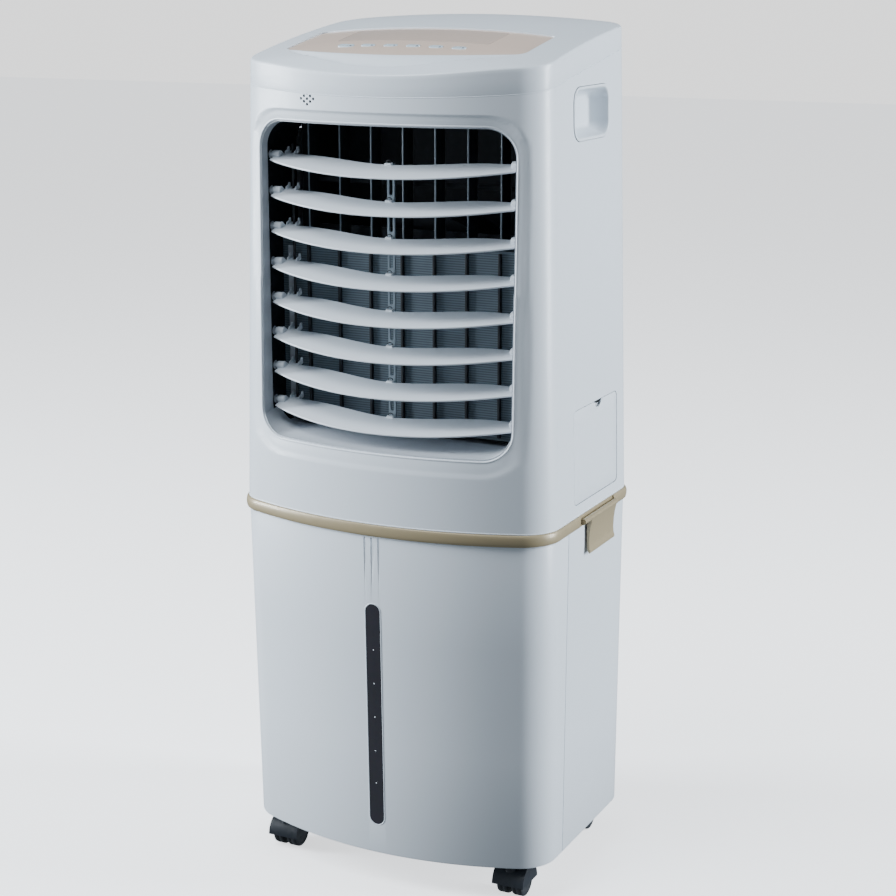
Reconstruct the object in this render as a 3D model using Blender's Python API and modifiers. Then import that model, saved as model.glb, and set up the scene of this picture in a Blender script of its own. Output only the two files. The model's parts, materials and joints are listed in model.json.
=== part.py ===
"""Evaporative tower cooler: a water tank on casters, a louvred fan head, a sloping control top."""
import bpy
import bmesh
from math import atan2, cos, pi, radians, sin, sqrt
from mathutils import Matrix, Vector

# ---- driving dimensions, in metres; front faces -Y, the floor is z = 0 ----
HALF_WIDTH = 0.2245
HALF_DEPTH = 0.1690
FRONT_BOW = 0.0515
FRONT_CORNER = 0.052
REAR_CORNER = 0.030
REAR_STEPS = 4
HEAD_TAPER = (0.0155, 0.0075, 0.0065)
TANK_TAPER = (0.0025, 0.0110, 0.0010)
WALL = 0.003
SKIN = 0.0022
GAP = 0.0004

TANK_LOW, TANK_HIGH = 0.048, 0.4925
BAND_LOW, BAND_HIGH = 0.4935, 0.5090
HEAD_LOW, HEAD_HIGH = 0.5095, 1.1300
SEAM_Y = -0.047
BAND_PROUD = 0.003
TOP_SEAM_Z, TOP_SEAM_SLOPE = 1.0735, 0.168

OUTLET_HALF = 0.181
OUTLET_LOW, OUTLET_HIGH = 0.6006, 1.0137
OUTLET_CORNER = 0.038
SLEEVE_REAR = -0.036
SLEEVE_WALL = 0.0025

LOUVERS = 8
LOUVER_PITCH = 0.0461
LOUVER_TILT = radians(14)
PIVOT_Y, PIVOT_TOP_Z = -0.100, 0.9651
LOUVER_HALF = 0.172
BLADE_DROP, BLADE_THICK = 0.003, 0.0024
LINK_X, LINK_ARM, LINK_RADIUS = -0.155, 0.0160, 0.0018

VANES = 7
VANE_PITCH = 0.0457
VANE_Y = -0.060
VANE_CHORD = 0.028
VANE_LOW, VANE_HIGH = 0.8590, 1.0085
VANE_LINK_Y, VANE_LINK_Z = -0.0425, 0.930

PANEL_HALF, PANEL_FRONT, PANEL_REAR = 0.167, -0.119, 0.022
PANEL_DROP = 0.0015
BUTTONS = 6
BUTTON_PITCH, BUTTON_Y = 0.0316, -0.075
BUTTON_TILT = radians(13.1)
BUTTON_RING = 0.45

HANDLE_Y, HANDLE_Z = (-0.026, 0.094), (0.988, 1.056)
DOOR_Y, DOOR_Z = (-0.033, 0.118), (0.525, 0.650)
DOOR_HINGE = (0.2226, 0.0425, 0.5290)
LATCH_Y, LATCH_Z, LATCH_LOW = (-0.015, 0.099), 0.5010, 0.452
REAR_HALF, REAR_Z = 0.170, (0.560, 1.030)
CASTERS = {"fl": (-0.172, -0.104), "fr": (0.172, -0.104), "rl": (-0.170, 0.125), "rr": (0.170, 0.125)}
WHEEL_RADIUS, CASTER_TRAIL = 0.020, 0.010
PUMP_XY = (0.120, 0.090)

for old in list(bpy.data.objects):
    bpy.data.objects.remove(old, do_unlink=True)
PARTS = bpy.data.collections.new("evaporative_cooler")
CUTTERS = bpy.data.collections.new("cutters")
bpy.context.scene.collection.children.link(PARTS)
bpy.context.scene.collection.children.link(CUTTERS)


def material(name, colour, roughness, metallic=0.0):
    """A plain Principled material."""
    made = bpy.data.materials.new(name)
    made.use_nodes = True
    shader = made.node_tree.nodes["Principled BSDF"]
    shader.inputs["Base Color"].default_value = (*colour, 1.0)
    shader.inputs["Roughness"].default_value = roughness
    shader.inputs["Metallic"].default_value = metallic
    return made


WHITE = (0.78, 0.80, 0.84)
GOLD = (0.50, 0.46, 0.42)


def add(name, bm, colour, roughness=0.45, metallic=0.0):
    """A named sub-part made from a bmesh, in the parts collection."""
    mesh = bpy.data.meshes.new(name)
    bm.to_mesh(mesh)
    bm.free()
    mesh.materials.append(material(name, colour, roughness, metallic))
    part = bpy.data.objects.new(name, mesh)
    PARTS.objects.link(part)
    return part


def cutter(bm):
    """A shape that only cuts or joins others."""
    name = "cutter_%02d" % len(CUTTERS.objects)
    mesh = bpy.data.meshes.new(name)
    bm.to_mesh(mesh)
    bm.free()
    tool = bpy.data.objects.new(name, mesh)
    tool.hide_render = True
    tool.display_type = "WIRE"
    CUTTERS.objects.link(tool)
    return tool


def combine(part, bm, operation="DIFFERENCE", carried=False):
    """Cuts, joins or crops a part with the shape in a bmesh; a carried shape moves with the part."""
    step = part.modifiers.new(operation.lower(), "BOOLEAN")
    step.operation = operation
    step.solver = "EXACT"
    step.object = cutter(bm)
    if carried:
        step.object.parent = part
    return part


def pivot(part, origin):
    """Puts a part's origin on its joint's axis, with the shape left where it is."""
    part.data.transform(Matrix.Translation([-value for value in origin]))
    part.location = origin
    return part


def thicken(part, thickness):
    """Gives an open surface a wall on its inner side."""
    step = part.modifiers.new("wall", "SOLIDIFY")
    step.thickness = thickness
    step.offset = -1.0
    step.use_even_offset = True
    return part


def spread(low, high, count):
    """Evenly spaced values, both ends included."""
    return [low + (high - low) * i / (count - 1) for i in range(count)]


# ---- outlines and solids ----

def half_outline(half, front, rear, bow=FRONT_BOW, front_corner=FRONT_CORNER, rear_corner=REAR_CORNER):
    """The right half of a plan outline with a bowed front, from the front centre to the rear."""
    radius = (half ** 2 + bow ** 2) / (2 * bow)
    centre = front + radius
    corner_x = half - front_corner
    corner_y = centre - sqrt((radius - front_corner) ** 2 - corner_x ** 2)
    turn = atan2(corner_x, centre - corner_y)
    points = [(radius * sin(a), centre - radius * cos(a)) for a in spread(0, turn, 6)]
    for a in spread(turn, pi / 2, 6)[1:]:
        points.append((corner_x + front_corner * sin(a), corner_y - front_corner * cos(a)))
    for a in spread(0, pi / 2, REAR_STEPS):
        points.append((half - rear_corner * (1 - cos(a)), rear - rear_corner * (1 - sin(a))))
    return points + [(half * 0.45, rear), (0.0, rear)]


def mirrored(half):
    """The closed outline, counter-clockwise from above, from its right half."""
    return half + [(-x, y) for x, y in reversed(half) if x > 1e-6]


def rounded_rect(low, high, radius, steps=5):
    """A counter-clockwise rectangle from corner to corner with round corners."""
    points = []
    corners = [(high[0] - radius, low[1] + radius, -pi / 2), (high[0] - radius, high[1] - radius, 0),
               (low[0] + radius, high[1] - radius, pi / 2), (low[0] + radius, low[1] + radius, pi)]
    for x, y, start in corners:
        for a in spread(start, start + pi / 2, steps):
            points.append((x + radius * cos(a), y + radius * sin(a)))
    return points


TURNS = {"X": Matrix.Rotation(pi / 2, 4, "Y"), "Y": Matrix.Rotation(-pi / 2, 4, "X"), "Z": Matrix.Identity(4)}


def place(point, level, axis):
    """An outline's point, at a level along an axis."""
    a, b = point
    return {"X": (level, a, b), "Y": (a, level, b), "Z": (a, b, level)}[axis]


def prism(outline, low, high, axis="Z"):
    """A flat outline extruded along an axis; the outline is in the other two axes."""
    bm = bmesh.new()
    flat = bm.faces.new([bm.verts.new(place(p, low, axis)) for p in outline])
    raised = bmesh.ops.extrude_face_region(bm, geom=[flat], use_keep_orig=True)["geom"]
    moved = [item for item in raised if isinstance(item, bmesh.types.BMVert)]
    bmesh.ops.translate(bm, vec=place((0, 0), high - low, axis), verts=moved)
    bmesh.ops.recalc_face_normals(bm, faces=bm.faces)
    return bm


def box(low, high):
    """A box between two corners."""
    bm = bmesh.new()
    bmesh.ops.create_cube(bm, size=1.0)
    size = [b - a for a, b in zip(low, high)]
    bmesh.ops.scale(bm, vec=size, verts=bm.verts)
    bmesh.ops.translate(bm, vec=[(a + b) / 2 for a, b in zip(low, high)], verts=bm.verts)
    return bm


def cylinder(centre, radius, low, high, axis="Z", segments=20):
    """A cylinder along an axis, at a place in the other two axes."""
    bm = bmesh.new()
    bmesh.ops.create_cone(bm, cap_ends=True, segments=segments, radius1=radius, radius2=radius,
                          depth=high - low)
    move = Matrix.Translation(place(centre, (low + high) / 2, axis)) @ TURNS[axis]
    bmesh.ops.transform(bm, matrix=move, verts=bm.verts)
    return bm


def together(*shapes):
    """Several separate shapes in one bmesh."""
    whole = bmesh.new()
    for bm in shapes:
        mesh = bpy.data.meshes.new("piece")
        bm.to_mesh(mesh)
        bm.free()
        whole.from_mesh(mesh)
        bpy.data.meshes.remove(mesh)
    return whole


def surface(rows, closed=True, bottom=False, top=False):
    """A lofted surface through rows of points, with optional flat ends."""
    bm = bmesh.new()
    lines = [[bm.verts.new(p) for p in row] for row in rows]
    count = len(rows[0])
    for low, high in zip(lines, lines[1:]):
        for i in range(count if closed else count - 1):
            j = (i + 1) % count
            bm.faces.new((low[i], low[j], high[j], high[i]))
    if bottom:
        bm.faces.new(lines[0][::-1])
    if top:
        bm.faces.new(lines[-1])
    return bm


def turned(name, profile, origin, colour, roughness=0.45, metallic=0.0, axis="Z", segments=20):
    """A sub-part turned about an axis; the profile is (radius, level) from one pole to the other."""
    bm = bmesh.new()
    points = [bm.verts.new((radius, 0, level)) for radius, level in profile]
    for low, high in zip(points, points[1:]):
        bm.edges.new((low, high))
    part = add(name, bm, colour, roughness, metallic)
    lathe = part.modifiers.new("lathe", "SCREW")
    lathe.steps = segments
    lathe.render_steps = segments
    lathe.use_merge_vertices = True
    lathe.merge_threshold = 1e-5
    lathe.use_smooth_shade = False
    lathe.use_normal_flip = True
    part.matrix_world = Matrix.Translation(origin) @ TURNS[axis]
    return part


# ---- the walls: every ring of the tank or head runs straight between two outlines ----

def tank_outline(z, inset=0.0):
    """Half outline of the tank at a height."""
    t = (TANK_HIGH - z) / (TANK_HIGH - TANK_LOW)
    side, front, rear = (step * t + inset for step in TANK_TAPER)
    return half_outline(HALF_WIDTH - 0.001 - side, -HALF_DEPTH + 0.0005 + front, HALF_DEPTH - 0.0005 - rear)


def head_outline(z, inset=0.0):
    """Half outline of the head at a height."""
    t = (z - HEAD_LOW) / (HEAD_HIGH - HEAD_LOW)
    side, front, rear = (step * t + inset for step in HEAD_TAPER)
    return half_outline(HALF_WIDTH - side, -HALF_DEPTH + front, HALF_DEPTH - rear)


def at(outline, z):
    """Outline points at one height."""
    return [(x, y, z) for x, y in outline]


HEAD_FOOT = mirrored(head_outline(HEAD_LOW))
HEAD_CROWN = mirrored(head_outline(HEAD_HIGH))


def head_ring(height, scale=1.0):
    """A ring on the head's wall whose height follows a function of x and y, drawn in by a scale."""
    ring = []
    for foot, crown in zip(HEAD_FOOT, HEAD_CROWN):
        z = HEAD_HIGH
        for _ in range(4):
            t = (z - HEAD_LOW) / (HEAD_HIGH - HEAD_LOW)
            x = (foot[0] + (crown[0] - foot[0]) * t) * scale
            y = (foot[1] + (crown[1] - foot[1]) * t) * scale
            z = height(x, y)
        ring.append((x, y, z))
    return ring


def seam_height(x, y):
    """The tilted joint between the housing and its top cover."""
    return TOP_SEAM_Z + TOP_SEAM_SLOPE * y


def rim_height(x, y):
    """The top cover's rim: rises to the rear, slightly crowned across."""
    across = 1 - min(1.0, (x / 0.211) ** 2)
    back = min(1.0, max(0.0, (y + 0.168) / 0.055))
    return 1.1058 + 0.169 * y - 0.22 * y * y + 0.0105 * across * back * back * (3 - 2 * back)


def crown_height(scale):
    """The cover's height inside the rim, at a ring's scale."""
    return lambda x, y: rim_height(x, y) + 0.004 * (1 - scale ** 3)


def cover_blank(name, colour, roughness, metallic=0.0):
    """The whole top shell, before anything is cut out of it."""
    rows = [head_ring(lambda x, y: seam_height(x, y) + 0.0002)]
    for drop, scale in ((0.012, 1.0), (0.0035, 1.0), (0.001, 0.9945), (0.0, 0.983)):
        rows.append(head_ring(lambda x, y: rim_height(x, y) - drop, scale))
    for scale in (0.93, 0.80, 0.60, 0.30):
        rows.append(head_ring(crown_height(scale), scale))
    return thicken(add(name, surface(rows, top=True), colour, roughness, metallic), 0.0025)


# ---- tank ----

def front_panel_blank(name, colour, roughness):
    """The tank's front skin, from seam to seam around the bowed front."""
    rows = []
    for z in spread(TANK_LOW + 0.0005, TANK_HIGH - 0.0005, 2):
        half = [p for p in tank_outline(z) if p[1] < SEAM_Y - 0.001]
        half.append((half[-1][0], SEAM_Y - 0.0005))
        rows.append(at([(-x, y) for x, y in reversed(half) if x > 1e-6] + half, z))
    return thicken(add(name, surface(rows, closed=False), colour, roughness), SKIN)


def tank():
    """The tub, its front skin with the level window, and the drain plug."""
    rows = []
    for z in (TANK_LOW, TANK_LOW + 0.012, TANK_HIGH):
        recess = SKIN + GAP + 0.0002
        half = [p for p in tank_outline(z, recess) if p[1] < SEAM_Y]
        full = tank_outline(z)
        rear = full[-REAR_STEPS - 2:]
        half += [(half[-1][0], SEAM_Y), (rear[0][0], SEAM_Y)] + rear
        rows.append(at(mirrored(half), z))
    tub = thicken(add("tank_tub", surface(rows, bottom=True), WHITE), WALL)
    sump = rounded_rect((-0.100, -0.070), (0.100, 0.070), 0.02)
    combine(tub, prism(sump, 0.040, TANK_LOW + 0.002), "UNION")
    combine(tub, cylinder((0, 0.078), 0.0110, 0.155, 0.180, "Y"))

    skin = front_panel_blank("tank_front_panel", WHITE, 0.42)
    combine(skin, prism(rounded_rect((-0.011, 0.090), (0.011, 0.4015), 0.0109), -0.20, -0.13, "Y"))
    grooves = [cylinder((x, -HALF_DEPTH), 0.0016, 0.412, 0.520, "Z", 8) for x in (-0.010, 0.0, 0.010)]
    combine(skin, together(*grooves))
    window = front_panel_blank("level_window", (0.03, 0.03, 0.05), 0.15)
    outline = rounded_rect((-0.011 + GAP, 0.090 + GAP), (0.011 - GAP, 0.4015 - GAP), 0.0105)
    combine(window, prism(outline, -0.20, -0.13, "Y"), "INTERSECT")

    profile = [(0, -0.016), (0.0075, -0.016), (0.0104, -0.014), (0.0104, 0.0008), (0.0150, 0.0008),
               (0.0155, 0.0015), (0.0150, 0.0032), (0, 0.0032)]
    turned("drain_plug", profile, (0, 0.1678, 0.078), (0.2, 0.22, 0.25), axis="Y")


def casters():
    """Four hooded twin-wheel casters, each a swivelling hood and a pair of wheels on one hub."""
    for corner, (x, y) in CASTERS.items():
        axle_y = y + CASTER_TRAIL
        hood = add("caster_hood_" + corner,
                   prism([(axle_y + 0.0245 * cos(a), 0.0195 + 0.0245 * sin(a)) for a in spread(0, pi, 13)],
                         x - 0.0225, x + 0.0225, "X"), (0.01, 0.014, 0.02), 0.35)
        pivot(hood, (x, y, 0.045))
        combine(hood, cylinder((x, y), 0.0085, 0.036, TANK_LOW - 0.0004, "Z", 16), "UNION")
        combine(hood, together(*[cylinder((axle_y, WHEEL_RADIUS), 0.0212, x + low, x + low + 0.0175, "X")
                                 for low in (-0.0202, 0.0027)]))
        combine(hood, box((x - 0.0026, axle_y - 0.009, 0.0105), (x + 0.0026, axle_y + 0.009, 0.030)), "UNION")
        combine(hood, cylinder((axle_y, WHEEL_RADIUS), 0.0062, x - 0.01, x + 0.01, "X", 16))
        disc = [(0.0188, 0.0032), (0.0200, 0.0050), (0.0200, 0.0168), (0.0180, 0.0190)]
        profile = [(0, -0.0190)] + [(r, -s) for r, s in reversed(disc)]
        profile += [(0.0054, -0.0032), (0.0054, 0.0032)] + disc + [(0, 0.0190)]
        turned("caster_wheels_" + corner, profile, (x, axle_y, WHEEL_RADIUS), (0.02, 0.02, 0.025), 0.6,
               axis="X")


# ---- head: deck, band, housing, top ----

def deck_and_band():
    """The head's floor, and the moulded trim band that hides the joint with the tank."""
    z = HEAD_LOW
    outline = mirrored(head_outline(z, 0.0012))
    deck = add("base_deck", prism(outline, TANK_HIGH + 0.0003, BAND_LOW + 0.004), WHITE)
    combine(deck, together(cylinder(PUMP_XY, 0.0075, 0.48, 0.51),
                           box((0.150, -0.025, 0.48), (0.205, 0.055, 0.51)),
                           box((-0.120, 0.115, 0.48), (-0.040, 0.140, 0.51))))
    profile = [(0.0, BAND_LOW), (0.55, BAND_LOW + 0.0006), (0.88, BAND_LOW + 0.003), (1.0, 0.5012),
               (0.88, BAND_HIGH - 0.003), (0.55, BAND_HIGH - 0.0006), (0.0, BAND_HIGH)]
    rings = [at(mirrored(head_outline(z, -BAND_PROUD * proud)), level) for proud, level in profile]
    rings.append(at(mirrored(head_outline(z, 0.0006)), BAND_HIGH))
    rings.append(at(mirrored(head_outline(z, 0.0006)), BAND_LOW))
    band = add("trim_band", surface(rings + rings[:1]), GOLD, 0.35, 0.4)
    bm = bmesh.new()
    bm.from_mesh(band.data)
    bmesh.ops.remove_doubles(bm, verts=bm.verts, dist=1e-6)
    bm.to_mesh(band.data)
    bm.free()
    for side in (-1, 1):
        inner, outer = sorted((side * (HALF_WIDTH + 0.0006), side * (HALF_WIDTH + 0.02)))
        combine(band, box((inner, LATCH_Y[0] - 0.0015, 0.48), (outer, LATCH_Y[1] + 0.0015, 0.52)))


def housing_blank(name, colour):
    """The head's outer wall, all the way round and past the top joint."""
    rows = [head_ring(lambda x, y, z=z: z) for z in (HEAD_LOW, 0.82, HEAD_HIGH)]
    return thicken(add(name, surface(rows), colour, 0.42), WALL)


def side_outline(span_y, span_z, radius, inset=0.0):
    """A rounded rectangle on a side wall."""
    low = (span_y[0] + inset, span_z[0] + inset)
    high = (span_y[1] - inset, span_z[1] - inset)
    return rounded_rect(low, high, radius)


def outlet_outline(inset=0.0):
    """The air outlet's rounded rectangle, in x and z."""
    low = (-OUTLET_HALF + inset, OUTLET_LOW + inset)
    return rounded_rect(low, (OUTLET_HALF - inset, OUTLET_HIGH - inset), OUTLET_CORNER - inset, 6)


def housing():
    """The one-piece housing wall, open for the outlet, the handles, the filler and the rear grille."""
    shell = housing_blank("housing_shell", WHITE)
    above = box((-0.3, -0.3, 0), (0.3, 0.3, 0.3))
    tilt = Matrix.Translation((0, 0, TOP_SEAM_Z - 0.0008)) @ Matrix.Rotation(atan2(TOP_SEAM_SLOPE, 1), 4, "X")
    bmesh.ops.transform(above, matrix=tilt, verts=above.verts)
    combine(shell, above)
    combine(shell, prism(outlet_outline(), -0.25, -0.09, "Y"))
    combine(shell, together(prism(side_outline(HANDLE_Y, HANDLE_Z, 0.02), 0.16, 0.25, "X"),
                            prism(side_outline(HANDLE_Y, HANDLE_Z, 0.02), -0.25, -0.16, "X"),
                            prism(side_outline(DOOR_Y, DOOR_Z, 0.008), 0.16, 0.25, "X")))
    rear_opening = rounded_rect((-REAR_HALF, REAR_Z[0]), (REAR_HALF, REAR_Z[1]), 0.012)
    combine(shell, prism(rear_opening, 0.12, 0.20, "Y"))
    combine(shell, cylinder((-0.150, 0.535), 0.0080, 0.15, 0.18, "Y"))

    profile = [(0, -0.012), (0.0060, -0.012), (0.0075, -0.010), (0.0075, 0.0006), (0.0120, 0.0006),
               (0.0120, 0.0016), (0.0100, 0.0025), (0, 0.0025)]
    turned("cord_gland", profile, (-0.150, 0.1690, 0.535), (0.02, 0.02, 0.025), axis="Y")


def handle_cups():
    """A sunk hand grip on each side, with a thin raised ring around it."""
    wall_x = HALF_WIDTH - HEAD_TAPER[0] * (1.022 - HEAD_LOW) / (HEAD_HIGH - HEAD_LOW)
    steps = [(0.0005, 0.0012, 0.0198), (0.0035, 0.0012, 0.0168), (0.0050, 0.0000, 0.0153),
             (0.0120, -0.0200, 0.010), (0.0150, -0.0235, 0.008)]
    for side, name in ((1, "handle_cup_right"), (-1, "handle_cup_left")):
        rows = []
        for inset, out, radius in steps:
            outline = side_outline(HANDLE_Y, HANDLE_Z, radius, inset)
            rows.append([(side * (wall_x + out), y, z) for y, z in outline])
        bm = surface(rows, top=True)
        if side < 0:
            bmesh.ops.reverse_faces(bm, faces=bm.faces)
        thicken(add(name, bm, WHITE, 0.4), 0.0018)


def filler():
    """The hinged filler door, cut from the same wall as the housing."""
    door = pivot(housing_blank("fill_door", WHITE), DOOR_HINGE)
    low = (DOOR_Y[0] + 0.0005, DOOR_Z[0] + 0.0009)
    outline = rounded_rect(low, (DOOR_Y[1] - 0.0005, DOOR_Z[1] - 0.0005), 0.0075)
    combine(door, prism(outline, 0.16, 0.25, "X"), "INTERSECT")
    combine(door, cylinder((0.050, DOOR_Z[1] + 0.004), 0.012, 0.2, 0.25, "X"))


def latches():
    """A swinging clasp on each side: a long barrel at the band and a plate that hangs over the tank."""
    barrel_x = HALF_WIDTH + 0.0051
    for side, name in ((1, "latch_right"), (-1, "latch_left")):
        profile = [(0.0030, LATCH_Z), (0.0036, 0.480), (0.0036, 0.462), (0.0052, LATCH_LOW + 0.003),
                   (0.0032, LATCH_LOW), (0.0012, 0.4605), (0.0012, 0.480), (0.0006, LATCH_Z)]
        outline = [(side * (HALF_WIDTH + out), z) for out, z in profile]
        plate = add(name, prism(outline, LATCH_Y[0] + 0.023, LATCH_Y[1] - 0.004, "Y"), GOLD, 0.35, 0.3)
        pivot(plate, (side * barrel_x, sum(LATCH_Y) / 2, LATCH_Z))
        combine(plate, cylinder((side * barrel_x, LATCH_Z), 0.0040, *LATCH_Y, "Y", 16), "UNION")


def button_place(index):
    """A button's position on the panel's surface."""
    x = (index - (BUTTONS - 1) / 2) * BUTTON_PITCH
    return Vector((x, BUTTON_Y, crown_height(BUTTON_RING)(x, BUTTON_Y) - PANEL_DROP))


def button_shape(index, grow, low, high):
    """An oval button body, tilted with the panel; the first is larger."""
    half = (0.0112, 0.0058) if index == 0 else (0.0095, 0.0048)
    half = (half[0] + grow, half[1] + grow)
    bm = prism(rounded_rect((-half[0], -half[1]), half, half[1] - 0.0001, 4), low, high)
    turn = Matrix.Translation(button_place(index)) @ Matrix.Rotation(BUTTON_TILT, 4, "X")
    bmesh.ops.transform(bm, matrix=turn, verts=bm.verts)
    return bm


def top():
    """The top cover, the sunk control panel, its display lens and buttons, and the board under them."""
    cover = cover_blank("top_cover", WHITE, 0.4)
    grow = 0.0004
    opening = half_outline(PANEL_HALF + grow, PANEL_FRONT - grow, PANEL_REAR + grow, 0.041, 0.022, 0.008)
    combine(cover, prism(mirrored(opening), 1.05, 1.2))

    panel = cover_blank("control_panel", GOLD, 0.35, 0.3)
    outline = mirrored(half_outline(PANEL_HALF, PANEL_FRONT, PANEL_REAR, 0.041, 0.022, 0.008))
    combine(panel, prism(outline, 1.05, 1.2), "INTERSECT")
    combine(panel, prism(rounded_rect((-0.108, -0.050), (0.108, 0.0165), 0.006), 1.05, 1.2))
    combine(panel, together(*[button_shape(i, 0.0004, -0.02, 0.02) for i in range(BUTTONS)]))
    panel.location.z = -PANEL_DROP

    lens = cover_blank("display_lens", (0.40, 0.38, 0.36), 0.2)
    combine(lens, prism(rounded_rect((-0.1076, -0.0496), (0.1076, 0.0161), 0.0056), 1.05, 1.2), "INTERSECT")
    lens.location.z = -PANEL_DROP

    for i in range(BUTTONS):
        cap = add("button_%d" % (i + 1), button_shape(i, 0.0, -0.0045, 0.0008), (0.62, 0.72, 0.80), 0.3)
        pivot(cap, button_place(i))
    board = box((-0.095, -0.022, -0.0008), (0.095, 0.022, 0.0008))
    drop = Matrix.Translation((0, BUTTON_Y, 1.0865)) @ Matrix.Rotation(BUTTON_TILT, 4, "X")
    bmesh.ops.transform(board, matrix=drop, verts=board.verts)
    add("control_board", board, (0.03, 0.16, 0.06))


# ---- air outlet ----

def outlet():
    """The sleeve behind the outlet, with bearing holes for the louvers, the strut and the lower panel."""
    sleeve = add("outlet_frame", prism(outlet_outline(GAP), -0.25, SLEEVE_REAR, "Y"), (0.42, 0.44, 0.47))
    inside = prism(outlet_outline(GAP + SLEEVE_WALL), -0.30, 0.0, "Y")
    combine(sleeve, inside)
    wedge = [(-0.1700, OUTLET_LOW + 0.0012), (SLEEVE_REAR, OUTLET_LOW + 0.0012), (SLEEVE_REAR, 0.6120),
             (-0.1100, 0.6120), (-0.1650, 0.6045)]
    combine(sleeve, prism(wedge, -0.150, 0.150, "X"), "UNION")
    combine(sleeve, prism(mirrored(head_outline(HEAD_LOW + 0.25, -0.0008)), 0.4, 1.2), "INTERSECT")
    pins = [cylinder((PIVOT_Y, PIVOT_TOP_Z - i * LOUVER_PITCH), 0.0031, -0.2, 0.2, "X", 8)
            for i in range(LOUVERS)]
    combine(sleeve, together(*pins))

    strut = add("center_strut", box((-0.006, -0.1075, 0.6130), (0.006, -0.1045, 1.0100)), (0.5, 0.53, 0.57))
    slot = rounded_rect((-0.0025, 0.622), (0.0025, 1.000), 0.0024)
    combine(strut, prism(slot, -0.12, -0.09, "Y"))

    panel = add("duct_panel", prism(outlet_outline(GAP + SLEEVE_WALL + 0.0006), -0.0750, -0.0720, "Y"),
                (0.12, 0.16, 0.19))
    combine(panel, box((-0.2, -0.1, 0.6128), (0.2, 0.0, 0.8555)), "INTERSECT")
    combine(panel, box((-0.1770, -0.0740, 0.8525), (0.1770, -0.0400, 0.8555)), "UNION")
    for i in range(VANES):
        x = (i - (VANES - 1) / 2) * VANE_PITCH
        combine(panel, box((x - 0.002, -0.0800, 0.6160), (x + 0.002, -0.0730, 0.8500)), "UNION")


def louver_outline():
    """One blade in its own plane, from the pivot axis: a crescent with a fork for the link at its left."""
    chord, rise = LOUVER_HALF, 0.0459
    apex = -0.0598
    radius = (chord ** 2 + rise ** 2) / (2 * rise)
    reach = atan2(chord, radius - rise)
    points = [(radius * sin(a), apex + radius * (1 - cos(a))) for a in spread(-reach, reach, 11)]
    rear, hollow = 0.0098, -0.0124
    dip = rear - hollow
    bend = (0.140 ** 2 + dip ** 2) / (2 * dip)
    sweep = atan2(0.140, bend - dip)
    points.append((chord, rear))
    points += [(bend * sin(a), hollow + bend * (1 - cos(a))) for a in spread(sweep, -sweep, 7)]
    tip, notch, fork, slot = 0.0216, 0.0129, 0.008, 0.0028
    points += [(LINK_X + fork, rear), (LINK_X + fork, tip), (LINK_X + slot, tip), (LINK_X + slot, notch),
               (LINK_X - slot, notch), (LINK_X - slot, tip), (LINK_X - fork, tip), (LINK_X - fork, rear),
               (-chord, rear)]
    return points


def louvers():
    """Eight tilting blades on end pins, and the upright rod that moves them together."""
    low, high = -BLADE_DROP - BLADE_THICK / 2, -BLADE_DROP + BLADE_THICK / 2
    for i in range(LOUVERS):
        blade = add("louver_%d" % (i + 1), prism(louver_outline(), low, high), (0.55, 0.60, 0.66))
        for side in (-1, 1):
            boss = sorted((side * 0.1640, side * 0.1755))
            pin = sorted((side * 0.1740, side * 0.1796))
            combine(blade, cylinder((0, 0), 0.0052, *boss, "X", 10), "UNION", carried=True)
            combine(blade, cylinder((0, 0), 0.0025, *pin, "X", 8), "UNION", carried=True)
        blade.location = (0, PIVOT_Y, PIVOT_TOP_Z - i * LOUVER_PITCH)
        blade.rotation_euler.x = LOUVER_TILT
    rod_y = PIVOT_Y + LINK_ARM * cos(LOUVER_TILT) + BLADE_DROP * sin(LOUVER_TILT)
    attach_z = LINK_ARM * sin(LOUVER_TILT) - BLADE_DROP * cos(LOUVER_TILT)
    top_z = PIVOT_TOP_Z + attach_z
    low_z = top_z - (LOUVERS - 1) * LOUVER_PITCH
    rod = cylinder((LINK_X, rod_y), LINK_RADIUS, low_z - 0.006, top_z + 0.012, "Z", 12)
    pivot(add("louver_link", rod, (0.02, 0.03, 0.04)), (LINK_X, rod_y, top_z))


def vanes():
    """Seven upright vanes behind the louvers, and the bar that swings them together."""
    half = VANE_CHORD / 2
    section = [(0.0, -half), (0.0012, -half + 0.0012), (0.0015, -half + 0.006), (0.0006, half),
               (-0.0006, half), (-0.0015, -half + 0.006), (-0.0012, -half + 0.0012)]
    for i in range(VANES):
        x = (i - (VANES - 1) / 2) * VANE_PITCH
        vane = add("vane_%d" % (i + 1), prism(section, VANE_LOW, VANE_HIGH), (0.03, 0.035, 0.04))
        pin = cylinder((0, 0), 0.0022, VANE_LOW - 0.0027, VANE_HIGH + 0.0017, "Z", 10)
        combine(vane, pin, "UNION", carried=True)
        vane.location = (x, VANE_Y, 0)
    first = -(VANES - 1) / 2 * VANE_PITCH
    bar = box((first - 0.006, VANE_LINK_Y - 0.0015, VANE_LINK_Z - 0.003),
              (0.006 - first, VANE_LINK_Y + 0.0015, VANE_LINK_Z + 0.003))
    pivot(add("vane_link", bar, (0.03, 0.035, 0.04)), (first, VANE_LINK_Y, VANE_LINK_Z))


# ---- inside ----

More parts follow.
